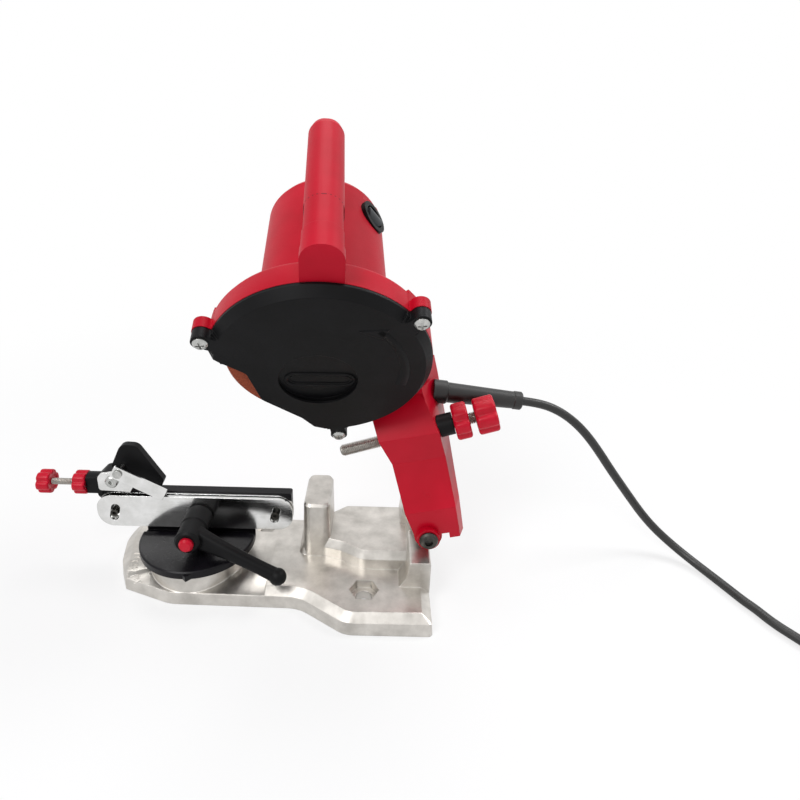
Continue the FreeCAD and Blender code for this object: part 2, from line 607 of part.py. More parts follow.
def arm_bracket():
    web, flange = [], []
    for q, y, pl, pf, pr, yr in STATIONS:
        t = SHEET * 1.12
        web.append([(pl, y, q), (pf, y, q), (pf, y + t, q), (pl, y + t, q)])
    for q, y, pl, pf, pr, yr in STATIONS + FLANGE_TOP:
        ln = math.hypot(pr - pf, yr - y)
        nx, ny = -(yr - y) / ln * SHEET, (pr - pf) / ln * SHEET
        flange.append([(pf, y, q), (pr, yr, q), (pr + nx, yr + ny, q), (pf + nx, y + ny, q)])
    # turned lip that lies on the back of the wheel housing
    corner = [(LIP_V0, DISH_BACK, LIP_U0), (LIP_V1, DISH_BACK, LIP_U0),
              (LIP_V1, DISH_BACK + SHEET, LIP_U0), (LIP_V0, DISH_BACK + SHEET, LIP_U0)]
    foot = [tuple(arm_local(*c)) for c in corner]
    head = [tuple(arm_local(v, off, LIP_U1)) for v, off, u in corner]
    s = chain_of(web + [foot, head]).fuse(chain_of(flange))
    low = box(-60, -40, -60, 60, 60, 0).cut(cyl((0, -40, 0), (0, 1, 0), 9.2, 100))
    low = low.cut(box(14, -40, -4, 60, 60, 1))
    s = s.cut(low)
    s = s.cut(cyl((0, -40, 0), (0, 1, 0), SLEEVE_R + RUN, 60))
    d = depth_dir_local()
    o = V(25, DEPTH_Y, DEPTH_Q)
    s = s.cut(Part.makeCylinder(DEPTH_R + 0.5, 40, o - d * 20, d))
    for v in LIP_SCREWS:
        a = arm_local(v, DISH_BACK - 5, LIP_U)
        b = arm_local(v, DISH_BACK + 10, LIP_U)
        s = s.cut(Part.makeCylinder(2.2, 15, a, b - a))
    return placed(largest(s), ARM)


def depth_dir_local():
    t = math.radians(DEPTH_TILT)
    return V(math.cos(t), 0, math.sin(t))


def arm_boss():
    return tube((PIVOT_X, RING_Y0, PIVOT_Z), (0, 1, 0), RING_R, SLEEVE_R + RUN, ARM_Y - RING_Y0)


def arm_screws():
    out = []
    for v in LIP_SCREWS:
        s = cyl((v, DISH_BACK - 2.0, LIP_U), (0, 1, 0), 2.0, SHEET + 2.0)
        s = s.fuse(turned([(0, 0), (4.0, 0), (4.0, 1.4), (2.6, 2.6), (0, 2.6)], (v, DISH_BACK + SHEET, LIP_U), (0, 1, 0)))
        out.append(placed(s, HEAD))
    return group(out)


def depth_piece(shape):
    """Place a piece drawn along +X about the depth screw's axis, x counted as p."""
    pl = FreeCAD.Placement(V(25, DEPTH_Y, DEPTH_Q), FreeCAD.Rotation(V(0, 1, 0), -DEPTH_TILT))
    s = shape.copy()
    s.translate(V(-25, 0, 0))
    s = placed(s, pl)
    return placed(s, ARM)


def screw_collar(bracket):
    s = depth_piece(tube((17.0, 0, 0), (1, 0, 0), 7.5, DEPTH_R + RUN, COLLAR_P - 17.0))
    s = s.cut(bracket)
    return largest(s)


def depth_rod():
    s = turned([(0, 0), (DEPTH_R - 1.6, 0), (DEPTH_R, 1.6), (DEPTH_R, 57.6 - DEPTH_END - 2), (0, 57.6 - DEPTH_END - 2)],
               (DEPTH_END, 0, 0), (1, 0, 0))
    return depth_piece(s)


def depth_knob():
    return depth_piece(knob(KNOB1_R, 14.0, DEPTH_R, (43.6, 0, 0), (1, 0, 0)))


def depth_lock_knob():
    return depth_piece(knob(KNOB1_R, 10.3, DEPTH_R + RUN, (COLLAR_P + FREE, 0, 0), (1, 0, 0)))


SLEEVE_Y = 36.0
SLEEVE_A = (19.0, 82.0)           # strain relief: (p, q) at the flange and at its end
SLEEVE_B = (77.5, 63.5)


def cord_sleeve(bracket):
    a = V(SLEEVE_A[0], SLEEVE_Y, SLEEVE_A[1])
    b = V(SLEEVE_B[0], SLEEVE_Y, SLEEVE_B[1])
    ln = (b - a).Length
    s = turned([(0, 0), (8.0, 0), (8.0, 9), (7.0, 10), (5.9, ln - 6), (6.3, ln - 5.4), (6.3, ln - 0.8),
                (5.6, ln), (0, ln)], (a.x, a.y, a.z), (b.x - a.x, 0, b.z - a.z))
    s = placed(s, ARM).cut(bracket)
    return largest(s)


# ---------------------------------------------------------------- grinding head
def ring_at(angle, r):
    a = math.radians(angle)
    return r * math.cos(a), r * math.sin(a)


def disc_with_ears(off0, off1, r0, r1, ear):
    s = turned([(0, 0), (r0, 0), (r1, off1 - off0), (0, off1 - off0)], (0, off0, 0), (0, 1, 0))
    for ang in EAR_ANGLES:
        x, z = ring_at(ang, EAR_AT)
        s = s.fuse(cyl((x, off0, z), (0, 1, 0), ear, off1 - off0))
        web = box(0, off0, -ear + 0.6, EAR_AT, off1, ear - 0.6)
        web.rotate(V(0, 0, 0), V(0, 1, 0), -ang)
        s = s.fuse(web.common(cyl((0, off0, 0), (0, 1, 0), EAR_AT, off1 - off0)))
    return s


def cutback(off0, off1, grow=0.0):
    """Lower left of the guard, cut away so that the wheel can reach the chain."""
    g = grow
    pts = [(-90, 15.2 + g, 1), (-90, -90, 1), (-6.7 + g, -90, 1), (-6.7 + g, -58.0 + g, 1), (-12.6 + g, -55.0 + g, 2),
           (-18.7 + g, -44.3 + g, 5), (-38.5 + g, -22.3 + g, 6), (-41.5 + g, 3.5 + g, 5), (-52.0 + g, 13.7 + g, 4)]
    return upright(pts, off0, off1)


def wheel_cover():
    s = disc_with_ears(0, 2.6, COVER_FACE_R, COVER_R, EAR_R - 0.35)
    s = s.fuse(disc_with_ears(2.6, COVER_T, COVER_R, COVER_R, EAR_R - 0.35))
    s = s.fuse(turned([(0, 0), (BADGE_R - 0.7, 0), (BADGE_R, 0.7), (BADGE_R, BADGE_T + 1), (0, BADGE_T + 1)],
                      (0, -BADGE_T, 0), (0, 1, 0)))
    s = s.cut(turned([(0, 0), (CAVITY_R, 0), (CAVITY_R, COVER_T), (0, COVER_T)], (0, COVER_WALL, 0), (0, 1, 0)))
    s = s.cut(cyl((0, COVER_WALL - BADGE_T, 0), (0, 1, 0), BADGE_R - COVER_WALL, BADGE_T + 1))
    s = s.cut(cutback(-20, 40))
    # rim that closes the cover along the cut-back
    for ang in EAR_ANGLES:
        x, z = ring_at(ang, EAR_AT)
        s = s.cut(cyl((x, -1, z), (0, 1, 0), 1.7, 20))
    return placed(largest(s), HEAD)


def cover_screws():
    out = []
    for ang in EAR_ANGLES:
        x, z = ring_at(ang, EAR_AT)
        h = turned([(0, 0), (4.1, 0), (4.1, 0.9), (2.9, 2.2), (0, 2.5)], (x, 0, z), (0, -1, 0))
        h = h.cut(box(-2.4, -3, -0.45, 2.4, -1.2, 0.45).fuse(box(-0.45, -3, -2.4, 0.45, -1.2, 2.4)).translated(
            V(x, 0, z)))
        out.append(placed(h.fuse(cyl((x, 0, z), (0, 1, 0), 1.7, 15)), HEAD))
    return group(out)


def wheel_housing():
    s = disc_with_ears(COVER_T, DISH_BACK - 3, DISH_R, DISH_R, EAR_R)
    s = s.fuse(disc_with_ears(DISH_BACK - 3, DISH_BACK, DISH_R, DISH_R - 1.6, EAR_R - 0.6))
    s = s.cut(cyl((0, COVER_T - 1, 0), (0, 1, 0), CAVITY_R, DISH_BACK - DISH_WALL - COVER_T + 1))
    s = s.cut(cutback(-20, 40))
    # nose that carries the front bearing, and the front leg of the handle
    s = s.fuse(cyl((0, 16.0, 0), (0, 1, 0), 15.0, DISH_BACK - 16.0))
    leg = rect(-GRIP_W / 2, DISH_R - 3, GRIP_W / 2, GRIP_OUT, 1.0)
    leg[2] = (GRIP_W / 2, GRIP_OUT, GRIP_W / 2 - 0.5)
    leg[3] = (-GRIP_W / 2, GRIP_OUT, GRIP_W / 2 - 0.5)
    leg = upright(leg, GRIP_FRONT, DISH_BACK + 1)
    bar = upright(grip_section(), DISH_BACK, GRIP_SEAM)
    grip = leg.fuse(bar)
    grip.rotate(V(0, 0, 0), V(0, 1, 0), -(GRIP_ANGLE - 90))
    s = s.fuse(grip)
    s = s.cut(cyl((0, 10, 0), (0, 1, 0), SPINDLE_R + 1.5, 30))
    for ang in EAR_ANGLES:
        x, z = ring_at(ang, EAR_AT)
        s = s.cut(cyl((x, 0, z), (0, 1, 0), 1.7, 15))
    for v in LIP_SCREWS:
        s = s.cut(cyl((v, DISH_BACK - 2.0, LIP_U), (0, 1, 0), 2.0, 5))
    return placed(largest(s), HEAD)


def grip_section():
    r = min(GRIP_W / 2 - 1.5, GRIP_T / 2 - 0.6)
    return [(-GRIP_W / 2 + 0.6, GRIP_IN, r), (GRIP_W / 2 - 0.6, GRIP_IN, r),
            (GRIP_W / 2 - 0.6, GRIP_OUT - 0.4, r), (-GRIP_W / 2 + 0.6, GRIP_OUT - 0.4, r)]


def motor_housing():
    """Barrel with the rear half of the handle."""
    s = turned([(0, 0), (MOTOR_R, 0), (MOTOR_R, 6), (MOTOR_R2, MOTOR_END - DISH_BACK - 9),
                (MOTOR_R2 - 2.5, MOTOR_END - DISH_BACK - 4), (MOTOR_R2 - 8, MOTOR_END - DISH_BACK), (0, MOTOR_END - DISH_BACK)],
               (0, DISH_BACK, 0), (0, 1, 0))
    bar = upright([(p[0], p[1], p[2]) for p in grip_section()], GRIP_SEAM, GRIP_END - 8)
    tail = Part.makeLoft([wire_at(grip_section(), GRIP_END - 8), wire_at(inset(grip_section(), 1.5), GRIP_END - 3),
                          wire_at(inset(grip_section(), 5.0), GRIP_END)], True, True)
    leg = upright(rect(-8.5, MOTOR_R2 - 6, 8.5, GRIP_IN + 6, 2.0), GRIP_END - 22, GRIP_END - 3)
    grip = bar.fuse(tail).fuse(leg)
    grip.rotate(V(0, 0, 0), V(0, 1, 0), -(GRIP_ANGLE - 90))
    s = s.fuse(grip)
    inner = MOTOR_END - 6
    s = s.cut(turned([(0, 0), (MOTOR_R - MOTOR_WALL, 0), (MOTOR_R - MOTOR_WALL, 4),
                      (MOTOR_R2 - MOTOR_WALL, inner - DISH_BACK - 8), (MOTOR_R2 - MOTOR_WALL - 6, inner - DISH_BACK),
                      (0, inner - DISH_BACK)], (0, DISH_BACK, 0), (0, 1, 0)))
    # seat of the rear bearing
    s = s.fuse(tube((0, inner - 7, 0), (0, 1, 0), 14.0, 11.0, 8.0))
    # round pocket of the switch, and the moulded recess behind it
    s = s.cut(switch_piece(cyl((0, 0, MOTOR_R2 - 12), (0, 0, 1), SWITCH_R, 30)))
    rec = switch_piece(box(-9, -6, 0, 6, 6, 12).translated(V(0, 17, MOTOR_R2 - 1.6)))
    s = s.cut(rec)
    # cooling slots in the end cap
    for i in range(-2, 3):
        s = s.cut(box(-16, MOTOR_END - 9, i * 7.0 - 1.4, 16, MOTOR_END + 2, i * 7.0 + 1.4).common(
            tube((0, MOTOR_END - 9, 0), (0, 1, 0), 26.0, 15.0, 12)))
    return placed(largest(s), HEAD)


def wire_at(pts, off):
    w = outline(pts, 0)
    w.rotate(V(0, 0, 0), V(1, 0, 0), 90)
    w.translate(V(0, off, 0))
    return w


def switch_piece(shape):
    """Place a piece drawn with its outer face along +Z, at the switch on the barrel."""
    s = shape.copy()
    s.rotate(V(0, 0, 0), V(0, 1, 0), 90 - SWITCH_ANGLE)
    s.translate(V(0, SWITCH_OFF, 0))
    return s


def switch_bezel():
    s = cyl((0, 0, MOTOR_R2 - 4.0), (0, 0, 1), SWITCH_R, 5.6)
    s = s.fuse(cyl((0, 0, MOTOR_R2 - 9), (0, 0, 1), SWITCH_R - 1.6, 7))
    s = s.cut(cyl((0, 0, MOTOR_R2 - 7), (0, 0, 1), SWITCH_R - 3.2, 20))
    return placed(switch_piece(s), HEAD)


def switch_rocker():
    s = cyl((0, 0, MOTOR_R2 - 5.0), (0, 0, 1), SWITCH_R - 4.2, 8.4)
    s = s.common(cyl((-20, 0, MOTOR_R2 - 4.0), (1, 0, 0), 7.0, 40))
    return placed(switch_piece(s), HEAD)


def motor_stator():
    s = tube((0, 52, 0), (0, 1, 0), STATOR_R, ARMATURE_R + 0.8, 44)
    for a in (0, 180):
        win = box(-9, 46, ARMATURE_R + 1.0, 9, 102, STATOR_R - 4).common(
            tube((0, 46, 0), (0, 1, 0), STATOR_R - 2, ARMATURE_R + 2.2, 56))
        win.rotate(V(0, 0, 0), V(0, 1, 0), a)
        s = s.fuse(win)
    for k in range(4):
        lug = box(-4, 56, STATOR_R - 2, 4, 92, STATOR_R + 2.1)
        lug.rotate(V(0, 0, 0), V(0, 1, 0), 45 + 90 * k)
        s = s.fuse(lug.common(cyl((0, 50, 0), (0, 1, 0), STATOR_R + 1.2, 60)))
    return placed(s, HEAD)


def bearing(off, ri, ro, w):
    ring = tube((0, off, 0), (0, 1, 0), ro, ro - 2.2, w)
    inner = tube((0, off, 0), (0, 1, 0), ri + 2.0, ri, w)
    shield = tube((0, off + 0.8, 0), (0, 1, 0), ro - 2.2, ri + 2.0, w - 1.6)
    return ring.fuse(inner).fuse(shield)


def motor_bearings():
    return group([placed(bearing(DISH_BACK, SPINDLE_R + RUN, 11.0, 7), HEAD),
                  placed(bearing(MOTOR_END - 13, SPINDLE_R + RUN, 11.0, 7), HEAD)])


def bearing_plate():
    s = tube((0, DISH_BACK, 0), (0, 1, 0), MOTOR_R - MOTOR_WALL - 0.2, 11.0, 5.0)
    for k in range(6):
        a = 60 * k + 30
        x, z = ring_at(a, 25)
        s = s.cut(cyl((x, DISH_BACK - 1, z), (0, 1, 0), 6.0, 8))
    return placed(s, HEAD)


def brush_holders():
    out = []
    for a in (150, 330):
        b = box(-4, 103, COMM_R + 0.4, 4, 111, MOTOR_R2 - MOTOR_WALL - 5.4)
        b.rotate(V(0, 0, 0), V(0, 1, 0), a)
        out.append(placed(b, HEAD))
    return group(out)


def motor_shaft():
    s = cyl((0, -0.5, 0), (0, 1, 0), SPINDLE_R, MOTOR_END - 7 + 0.5)
    return placed(s, HEAD)


def armature_core():
    s = tube((0, 54, 0), (0, 1, 0), ARMATURE_R, SPINDLE_R, 40)
    for k in range(12):
        x, z = ring_at(30 * k, ARMATURE_R - 1.4)
        s = s.cut(cyl((x, 53, z), (0, 1, 0), 1.9, 42))
    return placed(s, HEAD)


def commutator():
    return placed(tube((0, 100, 0), (0, 1, 0), COMM_R, SPINDLE_R, 14), HEAD)


def cooling_fan():
    r = STATOR_R - 3
    s = tube((0, 33, 0), (0, 1, 0), 9.0, SPINDLE_R, 10).fuse(tube((0, 33, 0), (0, 1, 0), r, 8.0, 1.8))
    for k in range(9):
        blade = box(8.4, 34, -0.8, r, 43, 0.8)
        blade.rotate(V(0, 0, 0), V(0, 1, 0), 40 * k)
        s = s.fuse(blade)
    return placed(s, HEAD)


WHEEL_BACK = WHEEL_OFF + WHEEL_T


def inner_flange():
    s = turned([(SPINDLE_R, 0), (15.0, 0), (15.0, 3.0), (9.0, 3.6), (SPINDLE_R, 3.6)], (0, WHEEL_BACK, 0), (0, 1, 0))
    s = s.fuse(tube((0, WHEEL_OFF, 0), (0, 1, 0), WHEEL_BORE, SPINDLE_R, WHEEL_T))
    return placed(s, HEAD)


def grinding_wheel():
    s = turned([(WHEEL_BORE, 0), (WHEEL_R - 1.2, 0), (WHEEL_R, 1.0), (WHEEL_R, WHEEL_T - 1.0),
                (WHEEL_R - 1.2, WHEEL_T), (WHEEL_BORE, WHEEL_T)], (0, WHEEL_OFF, 0), (0, 1, 0))
    return placed(s, HEAD)


def outer_flange():
    return placed(turned([(SPINDLE_R, 0), (15.0, 0), (15.0, 2.0), (9.0, 3.2), (SPINDLE_R, 3.2)],
                         (0, WHEEL_OFF, 0), (0, -1, 0)), HEAD)


def clamp_nut():
    n = hexagon(14.0, 4.5, (0, WHEEL_OFF - 3.2 - 4.5, 0), (0, 1, 0))
    return placed(n.cut(cyl((0, -10, 0), (0, 1, 0), SPINDLE_R, 30)), HEAD)


# ---------------------------------------------------------------- cord
def cord_points():
    """Route of the lead's centre line, from the strain relief to the coil."""
    b = ARM.multVec(V(SLEEVE_B[0], SLEEVE_Y, SLEEVE_B[1]))
    a = ARM.multVec(V(SLEEVE_A[0], SLEEVE_Y, SLEEVE_A[1]))
    d = (b - a).normalize()
    pts = [b, b + d * 12.0]
    pts += [V(*p) for p in CORD_ROUTE]
    return pts


CORD_ROUTE = ((244.0, 36.0, 114.4), (256.8, 36.0, 105.9), (268.2, 36.0, 94.8), (278.8, 36.0, 81.6),
              (289.0, 36.0, 67.8), (299.2, 36.0, 54.8), (308.4, 36.0, 43.2), (319.5, 36.0, 29.5),
              (330.3, 33.5, 18.6), (341.5, 26.9, 10.4), (351.9, 17.0, 5.0), (360.0, 4.0, CORD_R),
              (365.2, -8.5, CORD_R), (370.3, -21.5, CORD_R), (374.0, -28.0, CORD_R), (378.8, -40.5, CORD_R),
              (386.0, -51.5, CORD_R), (392.6, -61.5, CORD_R), (396.0, -70.0, CORD_R))
COIL_X, COIL_Y = 440.0, -72.0
COIL_OUT, COIL_IN = 47.0, 34.0
COIL_H = 21.0
PLUG_H = 25.0


def tube_along(pts, r):
    """Straight runs joined by tangent arcs; prints the smallest bend radius."""
    edges = []
    prev = pts[0]
    radii = []
    for i in range(1, len(pts) - 1):
        a, b, c = pts[i - 1], pts[i], pts[i + 1]
        e, f = (b - a).normalize(), (c - b).normalize()
        turn = math.acos(max(-1.0, min(1.0, e.dot(f))))
        t = 0.45 * min((b - a).Length, (c - b).Length)
        rad = t / math.tan(turn / 2)
        radii.append(rad)
        p0, p1 = b - e * t, b + f * t
        mid = b + (f - e).normalize() * (rad / math.cos(turn / 2) - rad)
        edges.append(Part.LineSegment(prev, p0).toShape())
        edges.append(Part.Arc(p0, mid, p1).toShape())
        prev = p1
    edges.append(Part.LineSegment(prev, pts[-1]).toShape())
    path = Part.Wire(edges)
    d = (pts[1] - pts[0]).normalize()
    ring = Part.Wire([Part.makeCircle(r, pts[0], d)])
    s = path.makePipeShell([ring], True, False)
    if not s.Solids:
        s = Part.Solid(s)
    print("cord: length %.1f, volume ratio %.4f, radii %s" % (
        path.Length, s.Volume / (math.pi * r * r * path.Length), [round(x, 1) for x in radii]))
    return s


def cord_coil():
    s = turned([(COIL_IN, 0), (COIL_OUT, 0), (COIL_OUT, COIL_H), (COIL_IN, COIL_H)], (COIL_X, COIL_Y, 0), (0, 0, 1))
    return s


def plug_body():
    """Flat two-pin plug lying beside the coil, its neck towards the coil."""
    x, y, z = COIL_X + COIL_OUT - CORD_R, COIL_Y + 24.0, PLUG_H / 2
    neck = turned([(0, 0), (3.4, 0), (4.6, 15), (0, 15)], (x, y, z), (0, 1, 0))

    def ring(yy, w, h, r):
        return wire_at([(a, b + z, c) for a, b, c in rect(x - w / 2, -h / 2, x + w / 2, h / 2, r)], yy)
    body = Part.makeLoft([ring(y + 14, 14, 12, 5), ring(y + 24, 27, 19, 8), ring(y + 38, 35, PLUG_H, 11),
                          ring(y + 50, 35, PLUG_H, 11)], True, True)
    s = neck.fuse(body)
    for dx in (-9.5, 9.5):
        s = s.cut(cyl((x + dx, y + 42, z), (0, 1, 0), 2.4, 10))
    return s


def plug_pins():
    x, y, z = COIL_X + COIL_OUT - CORD_R, COIL_Y + 24.0, PLUG_H / 2
    return group([cyl((x + dx, y + 42, z), (0, 1, 0), 2.4, 8 + 18).fuse(
        Part.makeSphere(2.4, V(x + dx, y + 68, z))) for dx in (-9.5, 9.5)])


def main():
    os.makedirs("parts", exist_ok=True)
    bracket = arm_bracket()
    pieces = {
        "base_casting": base_casting(), "pivot_bolt": pivot_bolt(), "pivot_sleeve": pivot_sleeve(),
        "pivot_nut": pivot_nut(), "return_spring": return_spring(),
        "turntable_disc": turntable_disc(), "table_bolt": table_bolt(), "table_washer": table_washer(),
        "vise_block": vise_block(), "rear_jaw": rear_jaw(), "guide_pins": guide_pins(),
        "vise_screws": vise_screws(), "front_jaw": front_jaw(), "clamp_screw": clamp_screw(),
        "lever_handle": lever_handle(), "lever_button": lever_button(),
        "stop_body": stop_body(), "stop_plate": stop_plate(), "stop_pin": stop_pin(),
        "stop_pawl": stop_pawl(), "pawl_pin": pawl_pin(), "stop_rod": stop_rod(),
        "stop_knob": stop_knob(), "stop_lock_knob": stop_lock_knob(),
        "arm_bracket": bracket, "arm_boss": arm_boss(), "arm_screws": arm_screws(),
        "screw_collar": screw_collar(bracket), "depth_rod": depth_rod(), "depth_knob": depth_knob(),
        "depth_lock_knob": depth_lock_knob(), "cord_sleeve": cord_sleeve(bracket),
        "wheel_housing": wheel_housing(), "wheel_cover": wheel_cover(), "cover_screws": cover_screws(),
        "motor_housing": motor_housing(), "switch_bezel": switch_bezel(), "switch_rocker": switch_rocker(),
        "motor_stator": motor_stator(), "motor_bearings": motor_bearings(), "bearing_plate": bearing_plate(),
        "brush_holders": brush_holders(), "motor_shaft": motor_shaft(), "armature_core": armature_core(),
        "commutator": commutator(), "cooling_fan": cooling_fan(), "inner_flange": inner_flange(),
        "grinding_wheel": grinding_wheel(), "outer_flange": outer_flange(), "clamp_nut": clamp_nut(),
        "cord_lead": tube_along(cord_points(), CORD_R), "cord_coil": cord_coil(), "plug_body": plug_body(), "plug_pins": plug_pins(),
    }
    for node, shape in pieces.items():
        print(node, len(shape.Solids), shape.isValid(), round(shape.Volume))
        save(node, shape)


main()
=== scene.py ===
import math

import bmesh
import bpy
from mathutils import Matrix, Vector


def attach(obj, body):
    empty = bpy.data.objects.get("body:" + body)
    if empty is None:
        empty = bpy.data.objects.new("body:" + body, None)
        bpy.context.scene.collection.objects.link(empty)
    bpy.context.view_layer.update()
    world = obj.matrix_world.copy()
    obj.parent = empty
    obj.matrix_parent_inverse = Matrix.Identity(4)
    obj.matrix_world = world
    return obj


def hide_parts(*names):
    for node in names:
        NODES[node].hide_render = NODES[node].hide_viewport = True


bl_info = {
    "name": "Bench chain grinder dressing",
    "version": (1, 0, 0),
    "blender": (4, 5, 0),
    "location": "3D View > Sidebar > Chain grinder",
    "description": "Finishes, cord, screws and marks of a bench-mounted saw-chain grinder",
    "category": "Object",
}

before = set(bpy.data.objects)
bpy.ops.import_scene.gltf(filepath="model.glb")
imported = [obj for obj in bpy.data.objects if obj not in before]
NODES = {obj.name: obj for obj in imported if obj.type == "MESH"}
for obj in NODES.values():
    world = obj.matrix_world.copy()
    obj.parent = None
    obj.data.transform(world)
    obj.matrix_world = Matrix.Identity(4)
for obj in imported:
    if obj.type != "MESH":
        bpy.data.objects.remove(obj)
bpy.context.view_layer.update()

MM = 0.001          # one millimetre in metres
# places below are in mm from the foot of the turntable's axis; this is where the part's own origin, the front
# bench-bolt hole, is from there
ORIGIN = Vector((114.4, -29.6, 0.0))

# head frame: x across, y back along the spindle, z up the wheel cover
HEAD_AT = Vector((88.0, -28.3, 164.5))
HEAD_TILT, HEAD_LEAN = 30.0, -6.2
# arm frame: x across, y back, z up the arm from the pivot
ARM_AT = Vector((155.8, 0.0, 42.1))
ARM_LEAN = -12.0
# depth screw, in the arm frame: a point on its axis and its rise in degrees
DEPTH_AT, DEPTH_RISE = Vector((25.0, 16.0, 65.5)), 5.6
# chain-stop screw: its axis runs along x
STOP_Y, STOP_Z = 10.0, 63.4


def spot(x, y, z):
    """A point given in mm from the turntable's axis, as a point of the part in metres."""
    return (Vector((x, y, z)) - ORIGIN) * MM


def base_matrix():
    """Matrix from mm round the turntable's axis to the part."""
    return Matrix.Translation(-ORIGIN * MM) @ Matrix.Scale(MM, 4)


def head_matrix():
    turn = Matrix.Rotation(math.radians(HEAD_LEAN), 4, "Y") @ Matrix.Rotation(math.radians(HEAD_TILT), 4, "X")
    return Matrix.Translation((HEAD_AT - ORIGIN) * MM) @ turn @ Matrix.Scale(MM, 4)


def arm_matrix():
    turn = Matrix.Rotation(math.radians(ARM_LEAN), 4, "Y")
    return Matrix.Translation((ARM_AT - ORIGIN) * MM) @ turn @ Matrix.Scale(MM, 4)


def along(start, direction):
    """Matrix that puts a piece drawn up the z axis in mm at a point, pointing along a direction."""
    turn = Vector((0, 0, 1)).rotation_difference(Vector(direction)).to_matrix().to_4x4()
    return Matrix.Translation(Vector(start)) @ turn @ Matrix.Scale(MM, 4)


def on_depth_screw(across):
    """Matrix along the depth screw; at DEPTH_AT, across is that point's own x."""
    rise = math.radians(DEPTH_RISE)
    way = Vector((math.cos(rise), 0, math.sin(rise)))
    arm = arm_matrix()
    return along(arm @ (DEPTH_AT + way * (across - DEPTH_AT.x)), (arm.to_3x3() @ way).normalized())


def on_stop_screw(x):
    """Matrix along the chain-stop screw."""
    return along(spot(x, STOP_Y, STOP_Z), (1, 0, 0))


# ------------------------------------------------------------------ materials
def linear(hexa):
    """An sRGB hex colour as linear RGBA."""
    out = []
    for i in (0, 2, 4):
        c = int(hexa[i:i + 2], 16) / 255
        out.append(c / 12.92 if c <= 0.04045 else ((c + 0.055) / 1.055) ** 2.4)
    return (*out, 1.0)


def add(tree, kind, settings=None, links=None):
    """Adds a node, sets its properties or inputs, and links other sockets into it."""
    n = tree.nodes.new(kind)
    for key, value in (settings or {}).items():
        if isinstance(key, int) or key in n.inputs:
            n.inputs[key].default_value = value
        else:
            setattr(n, key, value)
    for key, socket in (links or {}).items():
        tree.links.new(socket, n.inputs[key])
    return n


def blank(name):
    """A material with one shader, its node tree and the shader."""
    m = bpy.data.materials.new(name)
    m.use_nodes = True
    m.node_tree.nodes.clear()
    out = add(m.node_tree, "ShaderNodeOutputMaterial")
    shader = add(m.node_tree, "ShaderNodeBsdfPrincipled")
    m.node_tree.links.new(shader.outputs[0], out.inputs[0])
    return m, m.node_tree, shader


def grain(tree, size_mm, detail=3.0, rough=0.55):
    """Noise in the part's own millimetres. Textures finer than about 0.5 mm are drawn coarser, to show."""
    at = add(tree, "ShaderNodeTexCoord")
    return add(tree, "ShaderNodeTexNoise", {"Scale": 1000.0 / size_mm, "Detail": detail, "Roughness": rough},
               {"Vector": at.outputs["Object"]}).outputs["Fac"]


def spread(tree, fac, out_low, out_high, low=0.3, high=0.7):
    """Maps a noise value, most of which lies between low and high, onto a range."""
    limits = {"From Min": low, "From Max": high, "To Min": out_low, "To Max": out_high}
    return add(tree, "ShaderNodeMapRange", limits, {"Value": fac}).outputs["Result"]


def tint(tree, fac, hex_a, hex_b):
    """Colour that varies between two hex values."""
    return add(tree, "ShaderNodeMix", {"data_type": "RGBA", 6: linear(hex_a), 7: linear(hex_b)},
               {0: fac}).outputs[2]


def relief(tree, height, depth_mm, strength, edge_mm):
    """Bump of a real depth over edges that are rounded off by a small radius."""
    bevel = add(tree, "ShaderNodeBevel", {"samples": 4, "Radius": edge_mm * MM})
    return add(tree, "ShaderNodeBump", {"Strength": strength, "Distance": depth_mm * MM},
               {"Height": height, "Normal": bevel.outputs[0]}).outputs[0]


def moulded_abs_red():
    """Moulded ABS, mould-textured: a soft sheen with a fine even grain."""
    m, t, s = blank("abs_red_moulded")
    fine = grain(t, 0.55, 2.0)
    cloud = grain(t, 26.0, 2.0)
    t.links.new(tint(t, spread(t, cloud, 0, 1), "B2031F", "C00626"), s.inputs["Base Color"])
    t.links.new(spread(t, fine, 0.42, 0.54), s.inputs["Roughness"])
    s.inputs["IOR"].default_value = 1.53
    s.inputs["Specular IOR Level"].default_value = 0.14
    t.links.new(relief(t, fine, 0.03, 0.55, 0.5), s.inputs["Normal"])
    return m


def powder_coat_red():
    """Powder-coated sheet steel: smooth and glossy with a slight orange peel."""
    m, t, s = blank("powder_coat_red")
    peel = grain(t, 1.6, 1.5)
    cloud = grain(t, 30.0, 2.0)
    t.links.new(tint(t, spread(t, cloud, 0, 1), "B80320", "C60828"), s.inputs["Base Color"])
    t.links.new(spread(t, cloud, 0.27, 0.36), s.inputs["Roughness"])
    s.inputs["IOR"].default_value = 1.5
    s.inputs["Specular IOR Level"].default_value = 0.2
    s.inputs["Coat Weight"].default_value = 0.04
    s.inputs["Coat Roughness"].default_value = 0.15
    t.links.new(relief(t, peel, 0.03, 0.25, 0.7), s.inputs["Normal"])
    return m


def knob_red():
    """Glossier moulded polyamide of the knobs and the lever's button."""
    m, t, s = blank("polyamide_red_knob")
    fine = grain(t, 0.8, 2.0)
    cloud = grain(t, 7.0, 2.0)
    t.links.new(tint(t, spread(t, cloud, 0, 1), "C00624", "CE0C2E"), s.inputs["Base Color"])
    t.links.new(spread(t, fine, 0.3, 0.42), s.inputs["Roughness"])
    s.inputs["IOR"].default_value = 1.53
    s.inputs["Specular IOR Level"].default_value = 0.22
    t.links.new(relief(t, fine, 0.02, 0.3, 0.4), s.inputs["Normal"])
    return m


